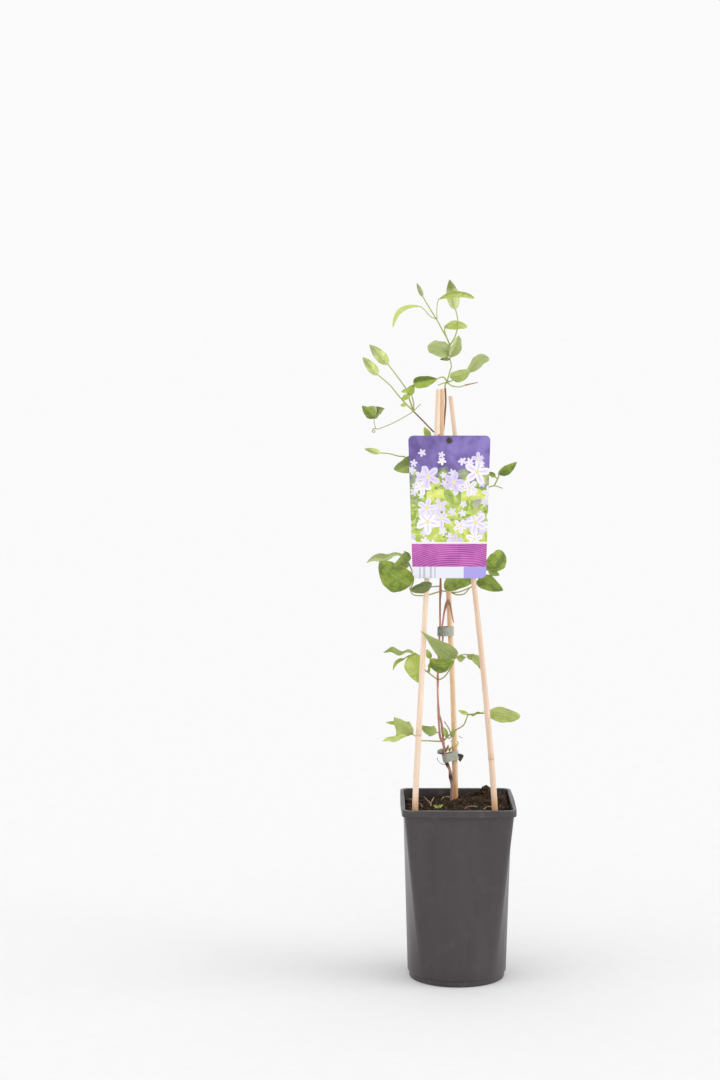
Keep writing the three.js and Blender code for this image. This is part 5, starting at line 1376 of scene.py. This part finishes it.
spray("leaves_beside_label", red=0.4,
      stalks=[
          [(-21.8, 17.3, 590), (-17, 20, 588), (-5, 16, 586), (13, 10, 584), (34, 6, 587), (43, 4, 589),
           (52, 4, 586)],
          [(42, 4, 589), (47, 4, 599), (48, 4, 604)],
          [(46, 4, 597), (42, 2, 601)],
      ],
      blades=[
          ((47, 4, 603), (69, 8, 617), 12, dict(roll=20, fold=0.3, tone=0.05, side=0.15)),
          ((43, 2, 600), (35, 0, 606), 6, dict(tone=0.2)),
      ])

# ---- left bud spray ----
# Young side shoot with two ribbed, downy buds on ruddy stalks, a few small bright leaflets, and one large
# leaf on a thread of a stalk that curls at its end.
spray("left_bud_spray", red=0.35,
      stalks=[
          [(-53.2, -4, 677), (-64, -6, 688), (-72, -8, 697), (-81, -10, 708), (-96, -12, 721)],
          [(-54, -4, 678), (-59, -3, 694), (-62, -2, 703), (-74, 0, 720), (-84, 2, 733)],
          [(-53, -4, 677), (-54, -6, 690), (-57, -5, 698), (-60, -3, 701)],
      ],
      threads=[
          [(-45, -4, 686), (-51, -5, 680), (-54, -5, 677), (-64, -6, 671), (-77, -8, 664), (-89, -9, 659),
           (-97, -10, 657), (-99, -9, 662), (-100, -8, 669)],
          [(-97, -10, 657), (-99.2, -10.4, 657.6), (-101.4, -10.2, 656.4), (-101.8, -10, 654),
           (-100, -9.8, 652.8), (-98.6, -9.6, 654.2), (-99.4, -9.4, 655.8), (-100.8, -9.2, 655)],
      ],
      blades=[
          ((-60, -4, 697), (-53, -6, 709), 10, dict(fold=0.35, tone=0.5, side=0.2)),
          ((-58, -5, 696), (-68, -7, 690), 7, dict(roll=20, fold=0.35, tone=0.6)),
          ((-61, -3, 701), (-68, -3, 700), 5, dict(roll=30, tone=0.75)),
          ((-62, -6, 686), (-69, -7, 684), 5, dict(tone=0.65)),
          ((-100.5, -8, 669.5), (-114.2, -14, 684.6), 12,
           dict(roll=10, widest=0.42, full=0.75, fold=0.4, tone=0.02, side=0.35)),
          ((-101, -8, 670), (-87.2, -10, 681), 13,
           dict(roll=-20, lift=0.14, widest=0.36, fold=0.4, tone=0.35, grey=0.6, side=-0.25)),
          ((-101, -7.5, 670), (-102, -9, 684), 13,
           dict(roll=-15, widest=0.68, full=0.8, fold=0.3, tone=0.5, grey=0.6, side=0.2)),
      ],
      buds=[
          ((-95, -12, 720), (-113, -16, 741), 12, 0.95, 0.1, 0.6),
          ((-83, 2, 732), (-105, 4, 755), 14, 0.92, 0.1, 0.6),
      ])

# ---- top shoot ----
# The growing tip above the canes: soft green stems, two buds, and translucent young leaves; the leaf that
# lies across the cane tops is older and darker.
spray("top_shoot", red=0.15,
      stalks=[
          [(-16, 6.6, 703), (-16.2, 6, 707), (-14, 5, 712), (-11, 3, 723), (-9, 2, 730), (-11, 1, 740),
           (-11, 0, 756)],
          [(-11, 0, 755), (-15, -1, 764), (-18, -1, 769), (-25, -2, 782), (-30, -2, 790), (-38, -3, 803),
           (-44, -4, 813)],
          [(-11, 0, 754), (-5, 2, 764), (-2, 3, 775), (-2, 3, 786), (-5, 3, 799)],
          [(-15, -1, 764), (-17, 4, 772), (-16, 8, 777)],
          [(-14, 5, 712), (-18, 1, 717), (-22, -1, 717), (-26, -2, 715)],
          [(-14, 5, 711), (-19, -2, 710), (-25, -8, 708)],
          [(-14, 5, 711), (-8, -4, 707), (0, -5, 706), (8, -3.8, 708.2)],
          [(-13, 5, 712), (-10, 3, 712), (-7, 3, 714)],
      ],
      bare_stalks=[
          ([(7, -4, 708), (22, 0, 711)], 0.95, 1.0),
      ],
      threads=[
          [(-27, -2, 785), (-32, -4, 787), (-36, -5, 790), (-41, -6, 796), (-46, -7, 800)],
          [(-26, -2, 784), (-26.5, -5, 794), (-26, -7, 803), (-24.2, -8, 808.8)],
      ],
      blades=[
          ((-45.5, -7, 799.8), (-78, -10, 775), 6.4,
           dict(roll=25, lift=0.23, widest=0.5, fold=0.35, tone=0.9, side=0.15)),
          ((-24, -8, 808.6), (17.2, -6, 809.4), 10.5,
           dict(roll=44, lift=0.27, fold=0.2, widest=0.5, tone=0.95, side=-0.3)),
          ((-17, 8, 776), (10, 10, 775.6), 12, dict(roll=30, lift=0.17, widest=0.46, tone=0.95)),
          ((-10, 1, 744), (-37, -6, 754), 19,
           dict(roll=-10, lift=0.1, widest=0.5, full=0.5, fold=0.35, wave=0.1, lobes=[0.85], tone=0.6,
                grey=0.5, side=0.2)),
          ((-11, 1, 740), (-1, -5, 766), 14,
           dict(roll=25, widest=0.5, full=0.7, fold=0.5, wave=0.1, tone=0.6, grey=0.5, side=0.2)),
          ((-11, 1, 738), (-23, -4, 738), 4.5, dict(roll=20, tone=0.05)),
          ((-25, -1.8, 715.2), (-54, -8, 711), 15,
           dict(roll=-14, widest=0.72, full=0.9, lift=0.02, fold=0.4, tone=0.42, side=-0.4)),
          ((-10, 3, 717), (15, 0, 728), 15,
           dict(roll=-16, lift=-0.16, widest=0.34, fold=0.3, wave=0.1, tone=0.5, grey=0.3, side=0.25)),
          ((8, 1, 722), (35, 4, 740), 16,
           dict(roll=20, lift=0.16, sway=-0.05, widest=0.64, full=0.95, fold=0.3, twist=14, wave=0.08,
                tone=0.55, grey=0.5, side=0.15)),
      ],
      buds=[
          ((-43, -4, 811), (-50, -5, 827), 5.5, 0.5, 0.6, 0.6),
          ((-4.6, 3, 796), (-11.5, 2, 831), 15.5, 1.05, 0.4, 1.0),
      ])

# ---- floor, light and camera ----
# A plain pale floor of matt paper, as bright as the even white sky over it, so that the two meet unseen.
# Broad soft light comes from both sides and above, and the camera stands a little above the plant's middle.
FLOOR_HALF = 40  # metres
SKY_GREY, SKY_STRENGTH = 0.98, 0.98
LAMPS = [  # name, the way it shines, strength
    ("left", (1, 0.35, -0.45), 0.42), ("right", (-1, 0.2, -0.4), 1.4), ("above", (0.15, 0.5, -1), 0.36)]
LAMP_SPREAD = math.radians(50)
FOCAL_LENGTH, SENSOR_WIDTH = 81.486, 36
CAMERA_AT, CAMERA_DOWN = (-0.1162, -2.8717, 0.8194), 0.1021  # metres, and radians below level

ground = bpy.data.meshes.new("floor")
corners = [(x * FLOOR_HALF, y * FLOOR_HALF, 0) for x, y in ((-1, -1), (1, -1), (1, 1), (-1, 1))]
ground.from_pydata(corners, [], [(0, 1, 2, 3)])
floor = bpy.data.objects.new("floor", ground)
bpy.context.scene.collection.objects.link(floor)
paper, tree, surface = finish("floor_paper", roughness=1.0, specular_ior_level=0.0)
cover(tree, surface, blend(tree, speckle(tree, place_of(tree), 40), "#e0e0e0", "#e2e1e2"))
ground.materials.append(paper)

world = bpy.data.worlds.new("sweep")
world.use_nodes = True
sky = world.node_tree.nodes["Background"].inputs
sky["Color"].default_value = (SKY_GREY, SKY_GREY, SKY_GREY, 1)
sky["Strength"].default_value = SKY_STRENGTH
bpy.context.scene.world = world

for name, facing, strength in LAMPS:
    lamp = bpy.data.lights.new(name, "SUN")
    lamp.energy, lamp.angle = strength, LAMP_SPREAD
    obj = bpy.data.objects.new(name, lamp)
    obj.rotation_euler = Vector(facing).to_track_quat("-Z", "Y").to_euler()
    bpy.context.scene.collection.objects.link(obj)

lens = bpy.data.cameras.new("camera")
lens.lens, lens.sensor_width = FOCAL_LENGTH, SENSOR_WIDTH
lens.dof.use_dof = False
camera = bpy.data.objects.new("camera", lens)
camera.location = CAMERA_AT
camera.rotation_euler = (math.pi / 2 - CAMERA_DOWN, 0, 0)
bpy.context.scene.collection.objects.link(camera)
bpy.context.scene.camera = camera
bpy.context.scene.view_settings.view_transform = "Standard"
